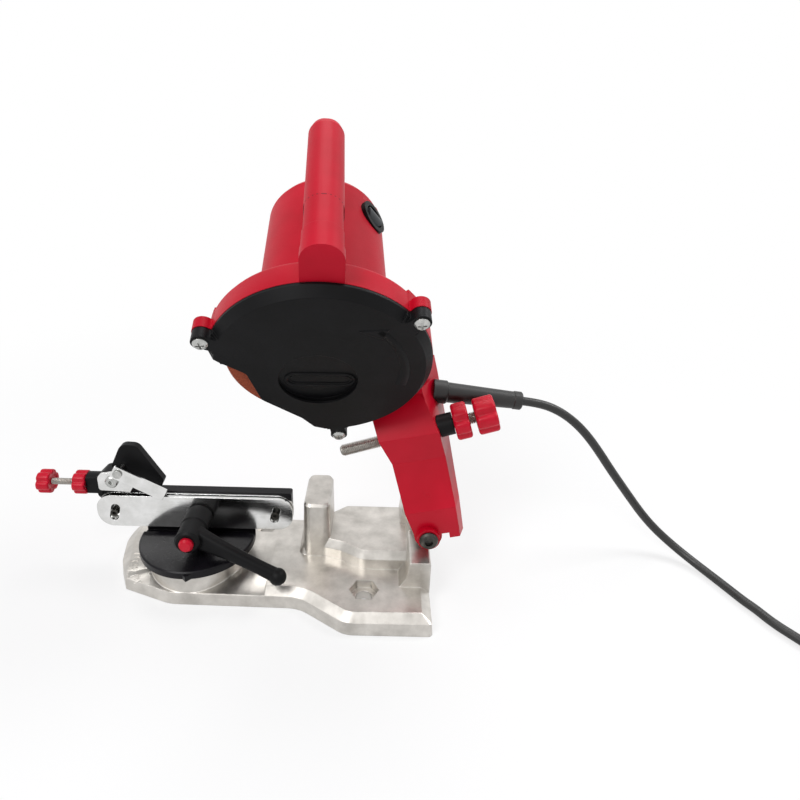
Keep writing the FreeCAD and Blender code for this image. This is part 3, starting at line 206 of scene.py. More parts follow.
def moulded_black(name, low, high, rough, size_mm, strength):
    """Black moulded plastic with a spark-eroded texture."""
    m, t, s = blank(name)
    fine = grain(t, size_mm, 3.0)
    cloud = grain(t, 18.0, 3.0)
    t.links.new(tint(t, spread(t, cloud, 0, 1), low, high), s.inputs["Base Color"])
    t.links.new(spread(t, fine, rough - 0.05, rough + 0.09), s.inputs["Roughness"])
    s.inputs["IOR"].default_value = 1.52
    s.inputs["Specular IOR Level"].default_value = 0.12
    t.links.new(relief(t, fine, 0.05, strength, 0.6), s.inputs["Normal"])
    return m


def cast_aluminium():
    """Die-cast aluminium, blasted: bright and slightly granular, duller in patches."""
    m, t, s = blank("aluminium_die_cast")
    pits = grain(t, 1.1, 4.0, 0.65)
    flow = grain(t, 14.0, 4.0, 0.6)
    t.links.new(tint(t, spread(t, flow, 0, 1, 0.32, 0.68), "B4B0AA", "D6D2CC"), s.inputs["Base Color"])
    t.links.new(spread(t, flow, 0.28, 0.42), s.inputs["Roughness"])
    s.inputs["Metallic"].default_value = 0.95
    mixed = add(t, "ShaderNodeMath", {"operation": "MULTIPLY_ADD", 1: 0.5}, {0: flow, 2: pits}).outputs[0]
    t.links.new(relief(t, mixed, 0.12, 0.4, 0.9), s.inputs["Normal"])
    return m


def machined_aluminium():
    """Turned aluminium of the bearing plate: clean and even, with a satin sheen."""
    m, t, s = blank("aluminium_turned")
    t.links.new(tint(t, grain(t, 4.0), "B9BABB", "CDCECF"), s.inputs["Base Color"])
    t.links.new(spread(t, grain(t, 0.7), 0.3, 0.42), s.inputs["Roughness"])
    s.inputs["Metallic"].default_value = 1.0
    return m


def polished_plate():
    """Zinc-plated and polished steel strip: near-mirror, with faint haze and fine lines along the strip."""
    m, t, s = blank("steel_plated_polished")
    haze = grain(t, 9.0, 3.0)
    at = add(t, "ShaderNodeTexCoord")
    lines = add(t, "ShaderNodeMapping", {"Scale": (0.04, 1.0, 1.0)}, {"Vector": at.outputs["Object"]})
    brushed = add(t, "ShaderNodeTexNoise", {"Scale": 1000.0 / 0.6, "Detail": 3.0},
                  {"Vector": lines.outputs[0]}).outputs["Fac"]
    t.links.new(tint(t, spread(t, haze, 0, 1), "D2D2D0", "E6E6E5"), s.inputs["Base Color"])
    t.links.new(spread(t, brushed, 0.1, 0.2), s.inputs["Roughness"])
    s.inputs["Metallic"].default_value = 1.0
    t.links.new(relief(t, brushed, 0.01, 0.2, 0.35), s.inputs["Normal"])
    return m


def steel(name, low, high, rough):
    """Turned or cold-headed metal, plated or blackened: a satin shine with a slight mottle."""
    m, t, s = blank(name)
    cloud = spread(t, grain(t, 2.2, 4.0), 0, 1)
    t.links.new(tint(t, cloud, low, high), s.inputs["Base Color"])
    sheen = spread(t, grain(t, 0.7, 3.0), rough - 0.05, rough + 0.1)
    t.links.new(sheen, s.inputs["Roughness"])
    s.inputs["Metallic"].default_value = 1.0
    t.links.new(relief(t, grain(t, 0.5, 2.0), 0.02, 0.3, 0.2), s.inputs["Normal"])
    return m


def painted_iron():
    """Black stove-enamelled cast iron: a half-gloss skin over a fine casting grain."""
    m, t, s = blank("cast_iron_black_enamel")
    fine = grain(t, 0.9, 3.0)
    cloud = grain(t, 12.0, 3.0)
    t.links.new(tint(t, spread(t, cloud, 0, 1), "0C0B0E", "141217"), s.inputs["Base Color"])
    t.links.new(spread(t, fine, 0.26, 0.38), s.inputs["Roughness"])
    s.inputs["Specular IOR Level"].default_value = 0.16
    t.links.new(relief(t, fine, 0.04, 0.3, 0.5), s.inputs["Normal"])
    return m


def abrasive():
    """Vitrified aluminium oxide: terracotta grains with open pores, quite matt."""
    m, t, s = blank("abrasive_vitrified_oxide")
    at = add(t, "ShaderNodeTexCoord")
    # real grains are about 0.2 mm; they are drawn four times coarser, so that they show
    grit = add(t, "ShaderNodeTexVoronoi", {"Scale": 1000.0 / 0.8}, {"Vector": at.outputs["Object"]})
    clay = spread(t, grain(t, 1.0, 4.0), 0, 1)
    t.links.new(tint(t, clay, "7E341E", "A14C2C"), s.inputs["Base Color"])
    s.inputs["Roughness"].default_value = 0.9
    t.links.new(relief(t, grit.outputs["Distance"], 0.2, 0.5, 0.3), s.inputs["Normal"])
    return m


def cord_pvc():
    """Extruded PVC jacket: smooth, with the faint waviness of the extrusion."""
    m, t, s = blank("pvc_black_extruded")
    wave = grain(t, 3.5, 2.0)
    t.links.new(tint(t, wave, "121211", "1B1B1A"), s.inputs["Base Color"])
    t.links.new(spread(t, wave, 0.38, 0.5), s.inputs["Roughness"])
    s.inputs["IOR"].default_value = 1.53
    t.links.new(relief(t, wave, 0.05, 0.15, 0.4), s.inputs["Normal"])
    return m


def laminations():
    """Stacked electrical steel, punched: dull grey with the rough grain of the sheets' edges."""
    m, t, s = blank("steel_laminated")
    t.links.new(tint(t, grain(t, 2.0), "5A5B5D", "757678"), s.inputs["Base Color"])
    s.inputs["Metallic"].default_value = 1.0
    s.inputs["Roughness"].default_value = 0.5
    t.links.new(relief(t, grain(t, 0.6), 0.05, 0.4, 0.2), s.inputs["Normal"])
    return m


def copper():
    """Hard-drawn copper of the brush gear: warm and half bright."""
    m, t, s = blank("copper_drawn")
    t.links.new(tint(t, grain(t, 3.0), "B0663E", "C67D52"), s.inputs["Base Color"])
    s.inputs["Metallic"].default_value = 1.0
    s.inputs["Roughness"].default_value = 0.35
    return m


FINISH = {}


def finishes():
    """The materials by a short key, made on the first call."""
    if FINISH:
        return FINISH
    FINISH.update({
        "abs_red": moulded_abs_red(), "coat_red": powder_coat_red(), "knob_red": knob_red(),
        # the handle seam's dark red is painted shade in the parting gap between the two shells, not the
        # plastic's own colour
        "shadow_red": moulded_black("abs_red_parting_line_painted_shade", "4A0512", "5A0817", 0.5, 0.6, 0.3),
        "cover_black": moulded_black("abs_black_textured", "09090A", "101012", 0.42, 0.9, 0.6),
        "nylon_black": moulded_black("polyamide_black_glass_filled", "0B0B0C", "131314", 0.45, 0.5, 0.5),
        "switch_grey": moulded_black("abs_grey_switch", "3B3E40", "494C4E", 0.4, 0.6, 0.3),
        "aluminium": cast_aluminium(), "turned_aluminium": machined_aluminium(), "plate": polished_plate(),
        "zinc": steel("steel_zinc_plated", "A9AAA8", "C4C4C1", 0.25),
        "nickel": steel("brass_nickel_plated", "B9B3A6", "CFC9BC", 0.2),
        "raw_steel": steel("steel_turned", "8B8782", "A7A29B", 0.3),
        "dark_steel": steel("steel_blackened", "3A3937", "504E4A", 0.35),
        "iron": painted_iron(), "abrasive": abrasive(), "pvc": cord_pvc(), "core": laminations(),
        "copper": copper(),
    })
    return FINISH


FINISH_OF = {
    "aluminium": "base_casting",
    "iron": "turntable_disc vise_block",
    "plate": "rear_jaw front_jaw stop_plate stop_pawl",
    "zinc": "pivot_nut table_bolt table_washer stop_pin pawl_pin arm_screws cover_screws clamp_nut",
    "dark_steel": "pivot_bolt return_spring guide_pins vise_screws",
    "raw_steel": "pivot_sleeve clamp_screw stop_rod depth_rod motor_bearings motor_shaft inner_flange "
                 "outer_flange",
    "nylon_black": "lever_handle stop_body screw_collar switch_bezel cooling_fan",
    "knob_red": "lever_button stop_knob stop_lock_knob depth_knob depth_lock_knob",
    "coat_red": "arm_bracket arm_boss",
    "abs_red": "wheel_housing motor_housing",
    "cover_black": "wheel_cover",
    "switch_grey": "switch_rocker",
    "core": "motor_stator armature_core",
    "turned_aluminium": "bearing_plate",
    "copper": "brush_holders commutator",
    "abrasive": "grinding_wheel",
    "pvc": "cord_sleeve cord_lead cord_coil plug_body",
    "nickel": "plug_pins",
}
NODE_FINISH = {node: key for key, nodes in FINISH_OF.items() for node in nodes.split()}


def dress(obj, key):
    """Gives an object one finish."""
    obj.data.materials.clear()
    obj.data.materials.append(finishes()[key])


def piece(name, mesh, matrix, key, body, smooth=True):
    """Links a mesh drawn in mm as a piece of the part that rides on a body."""
    mesh.transform(matrix)
    if smooth:
        for p in mesh.polygons:
            p.use_smooth = True
    obj = bpy.data.objects.new(name, mesh)
    bpy.context.scene.collection.objects.link(obj)
    dress(obj, key)
    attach(obj, body)
    return obj


def stand_in(node, slot, name, mesh, matrix, key, body, smooth=True):
    """A piece that is shown instead of a solid of the frame."""
    obj = piece(name, mesh, matrix, key, body, smooth)
    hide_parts(node)


def mesh_from(name, verts, faces):
    mesh = bpy.data.meshes.new(name)
    mesh.from_pydata([tuple(v) for v in verts], [], faces)
    mesh.validate()
    mesh.update()
    return mesh


def ring_skin(name, rings, cap=True):
    """Skin over rings of equal point counts, closed at both ends unless cap is off."""
    verts = [p for r in rings for p in r]
    faces = []
    n = len(rings[0])
    for i in range(len(rings) - 1):
        for j in range(n):
            a, b = i * n + j, i * n + (j + 1) % n
            faces.append((a, b, b + n, a + n))
    if cap:
        faces.append(tuple(range(n - 1, -1, -1)))
        faces.append(tuple(range((len(rings) - 1) * n, len(rings) * n)))
    return mesh_from(name, verts, faces)


# ------------------------------------------------------------------ shapes
def circle(x, y, r, n):
    """Points round a circle, anticlockwise."""
    return [(x + r * math.cos(2 * math.pi * k / n), y + r * math.sin(2 * math.pi * k / n)) for k in range(n)]


def thread_mesh(name, length, major, pitch, steps=20):
    """Rolled thread along z with rounded ends, as one ribbon of root, flank, crest and flank."""
    minor = major - 0.61 * pitch
    profile = ((0.0, minor), (0.18, minor), (0.5, major), (0.68, major))
    nose, nose_r, nose_rise = 1.6, 0.72 * minor, 0.9
    verts, faces = [], []
    rows = int(length / pitch) * steps
    for k in range(rows + 1):
        a = 2 * math.pi * k / steps
        for share, r in profile:
            z = min(max((k / steps + share - 0.5) * pitch, 0.0), length)
            near = min(z, length - z)
            if near <= nose:
                r = min(r, nose_r + near * nose_rise)
            verts.append((r * math.cos(a), r * math.sin(a), z))
    n = len(profile)
    for k in range(rows):
        for i in range(n):
            a = k * n + i
            b = a + n
            if i < n - 1:
                faces.append((a, b, b + 1, a + 1))
            elif k + steps + 1 <= rows:
                c = (k + steps) * n
                faces.append((a, b, c + n, c))
    foot = len(verts)
    verts += [(0, 0, 0), (0, 0, length)]
    for k in range(steps):
        faces.append((foot, (k + 1) * n, k * n))
        a = (rows - steps + k) * n + n - 1
        faces.append((foot + 1, a, a + n))
    return mesh_from(name, verts, faces)


def knob_mesh(name, radius, length, lobes=6):
    """Knob along z with rounded lobes, rounded rims and a shallow dish in each face."""
    n = lobes * 16
    edge = 0.16 * radius
    valley, valley_width = 0.16 * radius, 0.34
    dish = ((0.7, 0.45 * radius), (0.7, 0.55 * radius), (0.0, 0.62 * radius))

    def lobed(z, off):
        out = []
        for j in range(n):
            a = 2 * math.pi * j / n
            to_crest = abs((a * lobes / (2 * math.pi)) % 1.0 - 0.5) * 2
            r = radius - off - math.exp(-((1 - to_crest) / valley_width) ** 2) * valley
            out.append((r * math.cos(a), r * math.sin(a), z))
        return out

    def plain(z, r):
        return [(x, y, z) for x, y in circle(0, 0, r, n)]
    quarter = [k * math.pi / 10 for k in range(6)]
    arc = [(edge * (1 - math.cos(a)), edge * (1 - math.sin(a))) for a in quarter]
    rings = [plain(z, r) for z, r in dish]
    rings += [lobed(z, off) for off, z in reversed(arc)]
    rings += [lobed(length - z, off) for off, z in arc]
    rings += [plain(length - z, r) for z, r in reversed(dish)]
    return ring_skin(name, rings)


def ribbon(name, path, half, height, closed=False):
    """Flat raised strip in the local xz plane, its top towards -y; path holds x, z and a share of width."""
    verts, faces = [], []
    m = len(path)
    section = ((-1, 0.0), (-0.86, -height), (0.86, -height), (1, 0.0))
    for i, (x, z, w) in enumerate(path):
        a = path[i - 1] if i or closed else path[i]
        b = path[(i + 1) % m] if i < m - 1 or closed else path[i]
        t = Vector((b[0] - a[0], b[1] - a[1])).normalized()
        for side, y in section:
            verts.append((x - t.y * half * w * side, y, z + t.x * half * w * side))
    for i in range(m if closed else m - 1):
        for k in range(3):
            a, b = i * 4 + k, ((i + 1) % m) * 4 + k
            faces.append((a, b, b + 1, a + 1))
    return mesh_from(name, verts, faces)


def corners_of(outline):
    """Each corner of an outline with the directions of the edges into and out of it."""
    n = len(outline)
    for i in range(n):
        a, b, c = (Vector(q[:2]) for q in (outline[i - 1], outline[i], outline[(i + 1) % n]))
        yield b, (b - a).normalized(), (c - b).normalized(), outline[i][2]


def rounded(outline, z, steps=6):
    """Points round an anticlockwise outline of (x, y, radius) corners."""
    out = []
    for b, e, f, radius in corners_of(outline):
        turn = math.acos(max(-1.0, min(1.0, e.dot(f))))
        side = math.copysign(1.0, e.x * f.y - e.y * f.x)
        t = radius * math.tan(turn / 2)
        centre = b + (f - e).normalized() * (radius / math.cos(turn / 2))
        mid = (f * t - e * t + (b - centre) * 2).normalized() * radius
        for k in range(steps + 1):
            w = (k / steps - 0.5) * turn * side
            out.append((centre.x + mid.x * math.cos(w) - mid.y * math.sin(w),
                        centre.y + mid.x * math.sin(w) + mid.y * math.cos(w), z))
    return out


def inset(outline, d):
    """Moves every edge of an outline inwards."""
    out = []
    for b, e, f, radius in corners_of(outline):
        ne, nf = Vector((-e.y, e.x)), Vector((-f.y, f.x))
        m = (ne + nf) * (d / (1 + ne.dot(nf)))
        outer = e.x * f.y - e.y * f.x > 0
        out.append((b.x + m.x, b.y + m.y, max(0.4, radius - d) if outer else radius + d))
    return out


def carved(mesh, tools):
    """A mesh after cutting with, or joining to, closed meshes; tools are (operation, mesh) pairs."""
    scene = bpy.context.scene.collection
    body = bpy.data.objects.new("blank", mesh)
    scene.objects.link(body)
    helpers = []
    for kind, tool in tools:
        t = bpy.data.objects.new("tool", tool)
        scene.objects.link(t)
        helpers.append(t)
        mod = body.modifiers.new("carve", "BOOLEAN")
        mod.operation, mod.solver, mod.object = kind, "EXACT", t
    out = bpy.data.meshes.new_from_object(body.evaluated_get(bpy.context.evaluated_depsgraph_get()))
    for o in [body] + helpers:
        m = o.data
        bpy.data.objects.remove(o)
        bpy.data.meshes.remove(m)
    return out


WELD = 0.004          # points closer than this, in mm, are one


def solid_copy(node, to_local):
    """The closed mesh of a solid of the frame, in mm of a local frame."""
    obj = NODES[node]
    mesh = obj.data.copy()
    mesh.transform(to_local.inverted() @ obj.matrix_world)
    bm = bmesh.new()
    bm.from_mesh(mesh)
    bmesh.ops.remove_doubles(bm, verts=bm.verts, dist=WELD)
    bmesh.ops.recalc_face_normals(bm, faces=bm.faces)
    bm.to_mesh(mesh)
    bm.free()
    mesh.materials.clear()
    if mesh.has_custom_normals:
        mesh.attributes.remove(mesh.attributes["custom_normal"])
    return mesh


def prism(name, points, z0, z1):
    """Upright solid over an anticlockwise outline."""
    return ring_skin(name, [[(x, y, z0) for x, y in points], [(x, y, z1) for x, y in points]])


def joined(name, meshes):
    """Closed meshes put side by side in one mesh."""
    bm = bmesh.new()
    for m in meshes:
        bm.from_mesh(m)
    out = bpy.data.meshes.new(name)
    bmesh.ops.recalc_face_normals(bm, faces=bm.faces)
    bm.to_mesh(out)
    bm.free()
    return out


def crisp(mesh, degrees=28.0):
    """Smooth faces with sharp edges where they turn more than an angle."""
    for p in mesh.polygons:
        p.use_smooth = True
    mesh.set_sharp_from_angle(angle=math.radians(degrees))
    return mesh


# ------------------------------------------------------------------ properties
class GrinderSizes(bpy.types.PropertyGroup):
    focal_mm: bpy.props.FloatProperty(
        name="Lens", description="Focal length of the view, on a 36 mm sensor",
        default=27.0, min=10, max=120)
    cord_diameter: bpy.props.FloatProperty(
        name="Cord diameter", description="Outside diameter of the mains lead",
        default=0.006, min=0.004, max=0.01, unit="LENGTH")
    coil_outer: bpy.props.FloatProperty(
        name="Coil radius", description="Centre radius of the outer turns",
        default=0.044, min=0.03, max=0.08, unit="LENGTH")
    coil_inner: bpy.props.FloatProperty(
        name="Inner coil radius", description="Centre radius of the inner turns",
        default=0.0373, min=0.02, max=0.07, unit="LENGTH")
    depth_pitch: bpy.props.FloatProperty(
        name="Depth screw pitch", description="Thread pitch of the depth screw in mm",
        default=1.25, min=0.5, max=3)
    stop_pitch: bpy.props.FloatProperty(
        name="Stop screw pitch", description="Thread pitch of the chain-stop screw in mm",
        default=0.8, min=0.4, max=2)
    tick_step: bpy.props.IntProperty(
        name="Scale step", description="Degrees between the marks of the angle scale",
        default=5, min=1, max=15)
    mark_height: bpy.props.FloatProperty(
        name="Mark height", description="Height of the cast marks in mm",
        default=0.35, min=0.05, max=1)
    light_level: bpy.props.FloatProperty(
        name="Light level", description="Scale of all the lamps",
        default=1.0, min=0.1, max=4)


def sizes():
    return bpy.context.scene.grinder_sizes


# ------------------------------------------------------------------ operators
class GRINDER_OT_camera(bpy.types.Operator):
    """Sets the view: a wide lens close in front, above and a little to the right"""
    bl_idname = "grinder.camera"
    bl_label = "Camera"

    def execute(self, context):
        data = bpy.data.cameras.new("view")
        cam = bpy.data.objects.new("view", data)
        context.scene.collection.objects.link(cam)
        pitch, yaw, roll = (math.radians(a) for a in (22.2, 0.6, 1.8))
        ahead = Vector((math.sin(yaw) * math.cos(pitch), math.cos(yaw) * math.cos(pitch), -math.sin(pitch)))
        level = Vector((math.cos(yaw), -math.sin(yaw), 0))
        above = level.cross(ahead)
        right = level * math.cos(roll) + above * math.sin(roll)
        up = above * math.cos(roll) - level * math.sin(roll)
        m = Matrix((right, up, -ahead)).transposed().to_4x4()
        m.translation = spot(119.3, -336.8, 294.0)
        cam.matrix_world = m
        data.sensor_width = 36.0
        data.lens = sizes().focal_mm
        data.shift_x, data.shift_y = 0.02075, -0.0399
        data.clip_start, data.clip_end = 0.01, 20
        context.scene.camera = cam
        return {"FINISHED"}


class GRINDER_OT_cord(bpy.types.Operator):
    """Draws the mains lead from its strain relief down to the bench and into a coil with its plug"""
    bl_idname = "grinder.cord"
    bl_label = "Mains lead"

    # from the strain relief to the start of the coil
    ROUTE = ((244.0, 36.0, 114.4), (256.8, 36.0, 105.9), (268.2, 36.0, 94.8), (278.8, 36.0, 81.6),
             (289.0, 36.0, 67.8), (299.2, 36.0, 54.8), (308.4, 36.0, 43.2), (319.5, 36.0, 29.5),
             (330.3, 33.5, 18.6), (341.5, 26.9, 10.4), (351.9, 17.0, 5.0), (360.0, 4.0, 3.0),
             (365.2, -8.5, 3.0), (370.3, -21.5, 3.0), (374.0, -28.0, 3.0), (378.8, -40.5, 3.0),
             (386.0, -51.5, 3.0), (392.6, -61.5, 3.0), (396.0, -70.0, 3.0))
    RELIEF_ROOT, RELIEF_END = (19.0, 36.0, 82.0), (77.5, 36.0, 63.5)          # in the arm frame
    STRAIGHT = 12.0               # the lead leaves the strain relief straight for this length
    COIL_CENTRE = (440.0, -72.0, 0.0)
    COIL_TURNS, TURN_STEPS = 5.5, 18
    STEP_OVER = 0.78              # share of each turn before the lead climbs over to the next
    INTO_PLUG = ((484.0, -60.0, 11.2), (484.0, -45.0, 12.5))

    def coil(self):
        """Turns beside and on each other, wound from the side where the lead arrives."""
        s = sizes()
        gap = s.cord_diameter * 1.05          # from one turn to the next
        low = s.cord_diameter / 2
        turns = [(s.coil_outer, low), (s.coil_inner, low), (s.coil_inner, low + gap),
                 (s.coil_inner, low + 2 * gap), (s.coil_outer, low + 2 * gap), (s.coil_outer, low + gap)]
        centre = spot(*self.COIL_CENTRE)
        last = len(turns) - 1
        out = []
        for k in range(1, int(self.COIL_TURNS * self.TURN_STEPS) + 1):
            turn, share = divmod(k / self.TURN_STEPS, 1.0)
            r0, z0 = turns[min(int(turn), last)]
            r1, z1 = turns[min(int(turn) + 1, last)]
            over = max(0.0, (share - self.STEP_OVER) / (1 - self.STEP_OVER))
            over = over * over * (3 - 2 * over)
            a = math.pi + 2 * math.pi * k / self.TURN_STEPS
            r, z = r0 + (r1 - r0) * over, z0 + (z1 - z0) * over
            out.append(centre + Vector((r * math.cos(a), r * math.sin(a), z)))
        return out

    def execute(self, context):
        s = sizes()
        root, exit_at = (arm_matrix() @ Vector(p) for p in (self.RELIEF_ROOT, self.RELIEF_END))
        pts = [exit_at, exit_at + (exit_at - root).normalized() * self.STRAIGHT * MM]
        pts += [spot(*p) for p in self.ROUTE] + self.coil() + [spot(*p) for p in self.INTO_PLUG]
        curve = bpy.data.curves.new("lead", "CURVE")
        curve.dimensions = "3D"
        line = curve.splines.new("NURBS")
        line.points.add(len(pts) - 1)
        for p, q in zip(line.points, pts):
            p.co = (*q, 1.0)
        line.order_u = 3
        line.use_endpoint_u = True
        curve.resolution_u = 8
        curve.bevel_depth = s.cord_diameter / 2
        curve.bevel_resolution = 6
        curve.use_fill_caps = True
        obj = bpy.data.objects.new("lead", curve)
        context.scene.collection.objects.link(obj)
        curve.materials.append(finishes()["pvc"])
        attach(obj, "base")
        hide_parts("cord_lead", "cord_coil")
        tuple(exit_at)
        return {"FINISHED"}


class GRINDER_OT_finishes(bpy.types.Operator):
    """Gives each solid of the frame its finish"""
    bl_idname = "grinder.finishes"
    bl_label = "Finishes"

    def execute(self, context):
        missing = sorted(set(NODES) ^ set(NODE_FINISH))
        if missing:
            raise RuntimeError("no finish for " + ", ".join(missing))
        for name, key in NODE_FINISH.items():
            dress(NODES[name], key)
        return {"FINISHED"}


class GRINDER_OT_threads(bpy.types.Operator):
    """Cuts the threads of the depth screw and of the chain-stop screw"""
    bl_idname = "grinder.threads"
    bl_label = "Threaded rods"

    def execute(self, context):
        s = sizes()
        depth_from, depth_length, depth_r = -49.0, 104.6, 4.0
        mesh = thread_mesh("depth_screw_thread", depth_length, depth_r, s.depth_pitch)
        stand_in("depth_rod", "steel", "depth_screw_thread", mesh, on_depth_screw(depth_from), "raw_steel",
                 "depth_screw")
        stop_from, stop_length, stop_r = -106.0, 46.0, 2.2
        mesh = thread_mesh("stop_screw_thread", stop_length, stop_r, s.stop_pitch)
        stand_in("stop_rod", "steel", "stop_screw_thread", mesh, on_stop_screw(stop_from), "raw_steel",
                 "stop_screw")
        return {"FINISHED"}


class GRINDER_OT_knobs(bpy.types.Operator):
    """Moulds the four six-lobed knobs with rounded lobes"""
    bl_idname = "grinder.knobs"
    bl_label = "Knobs"

    def execute(self, context):
        depth_r, stop_r, stop_length = 12.25, 8.0, 8.5
        for node, at, radius, length, body in (
                ("depth_knob", on_depth_screw(43.6), depth_r, 14.0, "depth_grip"),
                ("depth_lock_knob", on_depth_screw(29.05), depth_r, 10.3, "depth_lock"),
                ("stop_knob", on_stop_screw(-106.3), stop_r, stop_length, "stop_grip"),
                ("stop_lock_knob", on_stop_screw(-82.45), stop_r, stop_length, "stop_lock")):
            name = node + "_moulded"
            stand_in(node, "red_plastic", name, knob_mesh(name, radius, length), at, "knob_red", body)
        return {"FINISHED"}


class GRINDER_OT_casting(bpy.types.Operator):
    """Casts the base with its flat deck, low pedestal and the wide slope at the front left"""
    bl_idname = "grinder.casting"
    bl_label = "Base casting"

    PEDESTAL_R = 32.3
    SPLIT_X = 50.0                # left of this the deck is drawn here, right of it the frame's solid stays
    # outline of the foot at the bench: x, y and the radius of each corner
    FOOT = [(-45.2, -20.5, 3), (-12, -33, 30), (64, -34.36, 1), (64, 48.5, 1), (-56.5, 48.5, 22),
            (-59, 18, 30), (-54, -4, 30)]
    FRONT_LEFT = [(-43.6, -18.4, 0.6), (-16.0, -11.0, 2.0)]      # where the wide slope meets the deck
    DRAFT, RIM = 0.8, 6.8         # how far the side and the slope above it lean in
    SIDE_TOP, DECK_TOP = 8.7, 12.6
    BOLT_AT, BOLT_R = (40.0, 36.0), 5.25
    NUT_ACROSS, NUT_FLOOR = 17.0, 6.6

    def deck(self):
        top = self.FRONT_LEFT + inset(self.FOOT, self.RIM)[2:]
        side = inset(self.FOOT, self.DRAFT)
        slab = ring_skin("slab", [rounded(self.FOOT, 0.0), rounded(side, self.SIDE_TOP),
                                  rounded(top, self.DECK_TOP)])
        bm = bmesh.new()
        bm.from_mesh(slab)
        bmesh.ops.bisect_plane(bm, geom=bm.verts[:] + bm.edges[:] + bm.faces[:],
                               plane_co=(self.SPLIT_X, 0, 0), plane_no=(1, 0, 0), clear_outer=True)
        bmesh.ops.holes_fill(bm, edges=[e for e in bm.edges if e.is_boundary])
        bm.to_mesh(slab)
        bm.free()
        hexagon = circle(*self.BOLT_AT, self.NUT_ACROSS / math.sqrt(3), 6)
        hole = circle(*self.BOLT_AT, self.BOLT_R, 36)
        return carved(slab, [("DIFFERENCE", prism("pocket", hexagon, self.NUT_FLOOR, 30)),
                             ("DIFFERENCE", prism("bore", hole, -4, 30))])

    def execute(self, context):
        core = prism("core", circle(0, 0, self.PEDESTAL_R, 120), -8, 64)
        left = prism("around", [(-80, -70), (self.SPLIT_X, -70), (self.SPLIT_X, 70), (-80, 70)], -5, 60)
        around = carved(left, [("DIFFERENCE", core)])
        shift = base_matrix()
        kept = carved(solid_copy("base_casting", shift), [("DIFFERENCE", around)])
        mesh = crisp(joined("casting", [kept, self.deck()]))
        stand_in("base_casting", "cast_aluminium", "casting", mesh, shift, "aluminium", "base", smooth=False)
        return {"FINISHED"}


def behind_face(name, outline, off0, off1):
    """Solid over an outline drawn on the face of the wheel cover, between two depths behind it."""
    m = prism(name, outline, -off1, -off0)
    m.transform(Matrix.Rotation(math.radians(90), 4, "X"))
    return m


def disc(name, across, up, r, off0, off1):
    return behind_face(name, circle(across, up, r, 96), off0, off1)


def corner(off0, off1):
    """Diagonal below the left ear, in front of the wheel."""
    return behind_face("corner", [(-90, 60), (-90, 8), (-53.0, 8), (-53.0, 14.6)], off0, off1)


class GRINDER_OT_cover(bpy.types.Operator):
    """Moulds the wheel cover with a round recess whose floor slopes in towards the bottom"""
    bl_idname = "grinder.cover"
    bl_label = "Wheel cover"

    RECESS_AT, RECESS_R = (-2.9, -7.6), 22.5
    RECESS_TOP, RECESS_FALL = 0.3, 3.7          # depth at the upper edge, and how far the floor falls away
    WALL_FROM, FLOOR = 1.2, 0.9                 # depth at which the wall starts, and the floor's thickness
    BETWEEN_EARS = ((37.5, 144.9), (157.5, 264.9), (-82.5, 24.9))
    BEVEL = ((58.4, -0.2), (64.5, -0.2), (64.5, 5.4), (62.9, 5.4))          # radius and depth

    def cup(self):
        """Floor and wall of the recess."""
        across, up = self.RECESS_AT
        slope = self.RECESS_FALL / (2 * self.RECESS_R)

        def ring(radius, depth_of):
            return [(v, depth_of(self.RECESS_TOP + slope * (up + self.RECESS_R - u)), u)
                    for v, u in circle(across, up, radius, 96)]

        def wall(depth):
            return min(self.WALL_FROM, depth)
        outer = self.RECESS_R + 1.0
        return ring_skin("cup", [ring(outer, lambda depth: depth + self.FLOOR), ring(outer, wall),
                                 ring(self.RECESS_R, wall), ring(self.RECESS_R, lambda depth: depth)])

    def bevels(self):
        """Cutters for the wide bevel between the ears."""
        for start, stop in self.BETWEEN_EARS:
            rings = []
            for k in range(41):
                w = math.radians(start + (stop - start) * k / 40)
                rings.append([(q * math.cos(w), off, q * math.sin(w)) for q, off in self.BEVEL])
            yield "DIFFERENCE", ring_skin("bevel", rings)

    def execute(self, context):
        head = head_matrix()
        # the raised boss goes, and its hollow is filled, before the recess is cut
        cuts = [("UNION", disc("plug", 0, 0, 24.4, -3.0, 2.35)),
                ("DIFFERENCE", disc("boss", 0, 0, 30.0, -9.0, 0.012)),
                ("DIFFERENCE", disc("hole", *self.RECESS_AT, self.RECESS_R, -2.0, 5.0)),
                *self.bevels(), ("DIFFERENCE", corner(-3, 12))]
        cover = carved(solid_copy("wheel_cover", head), cuts)
        mesh = crisp(joined("cover_moulded", [cover, self.cup()]))
        stand_in("wheel_cover", "black_plastic", "cover_moulded", mesh, head, "cover_black", "head",
                 smooth=False)
        return {"FINISHED"}


class GRINDER_OT_housing(bpy.types.Operator):
    """Moulds the red shell with short ears, and trims the shaft and its nut to clear the recess"""
    bl_idname = "grinder.housing"
    bl_label = "Wheel housing"

    SHELL_R, EAR_BACK = 63.1, 13.9
    NUT_FRONT, SHAFT_FRONT = 3.4, 3.3           # depths behind the cover's face

    def execute(self, context):
        head = head_matrix()
        around = carved(disc("around", 0, 0, 80.0, self.EAR_BACK, 60.0),
                        [("DIFFERENCE", disc("dish", 0, 0, self.SHELL_R, 5.0, 70.0))])
        ears = [around, corner(4, 40)]
        nut_cut = disc("cut", 0, 0, 12.0, -9.0, self.NUT_FRONT)
        shaft_cut = disc("cut", 0, 0, 12.0, -9.0, self.SHAFT_FRONT)
        for node, slot, name, key, body, cuts in (
                ("wheel_housing", "red_plastic", "housing_moulded", "abs_red", "head", ears),
                ("clamp_nut", "steel", "clamp_nut_thin", "zinc", "spindle", [nut_cut]),
                ("motor_shaft", "steel", "shaft_turned", "raw_steel", "spindle", [shaft_cut])):
            mesh = crisp(carved(solid_copy(node, head), [("DIFFERENCE", cut) for cut in cuts]))
            stand_in(node, slot, name, mesh, head, key, body, smooth=False)
        return {"FINISHED"}


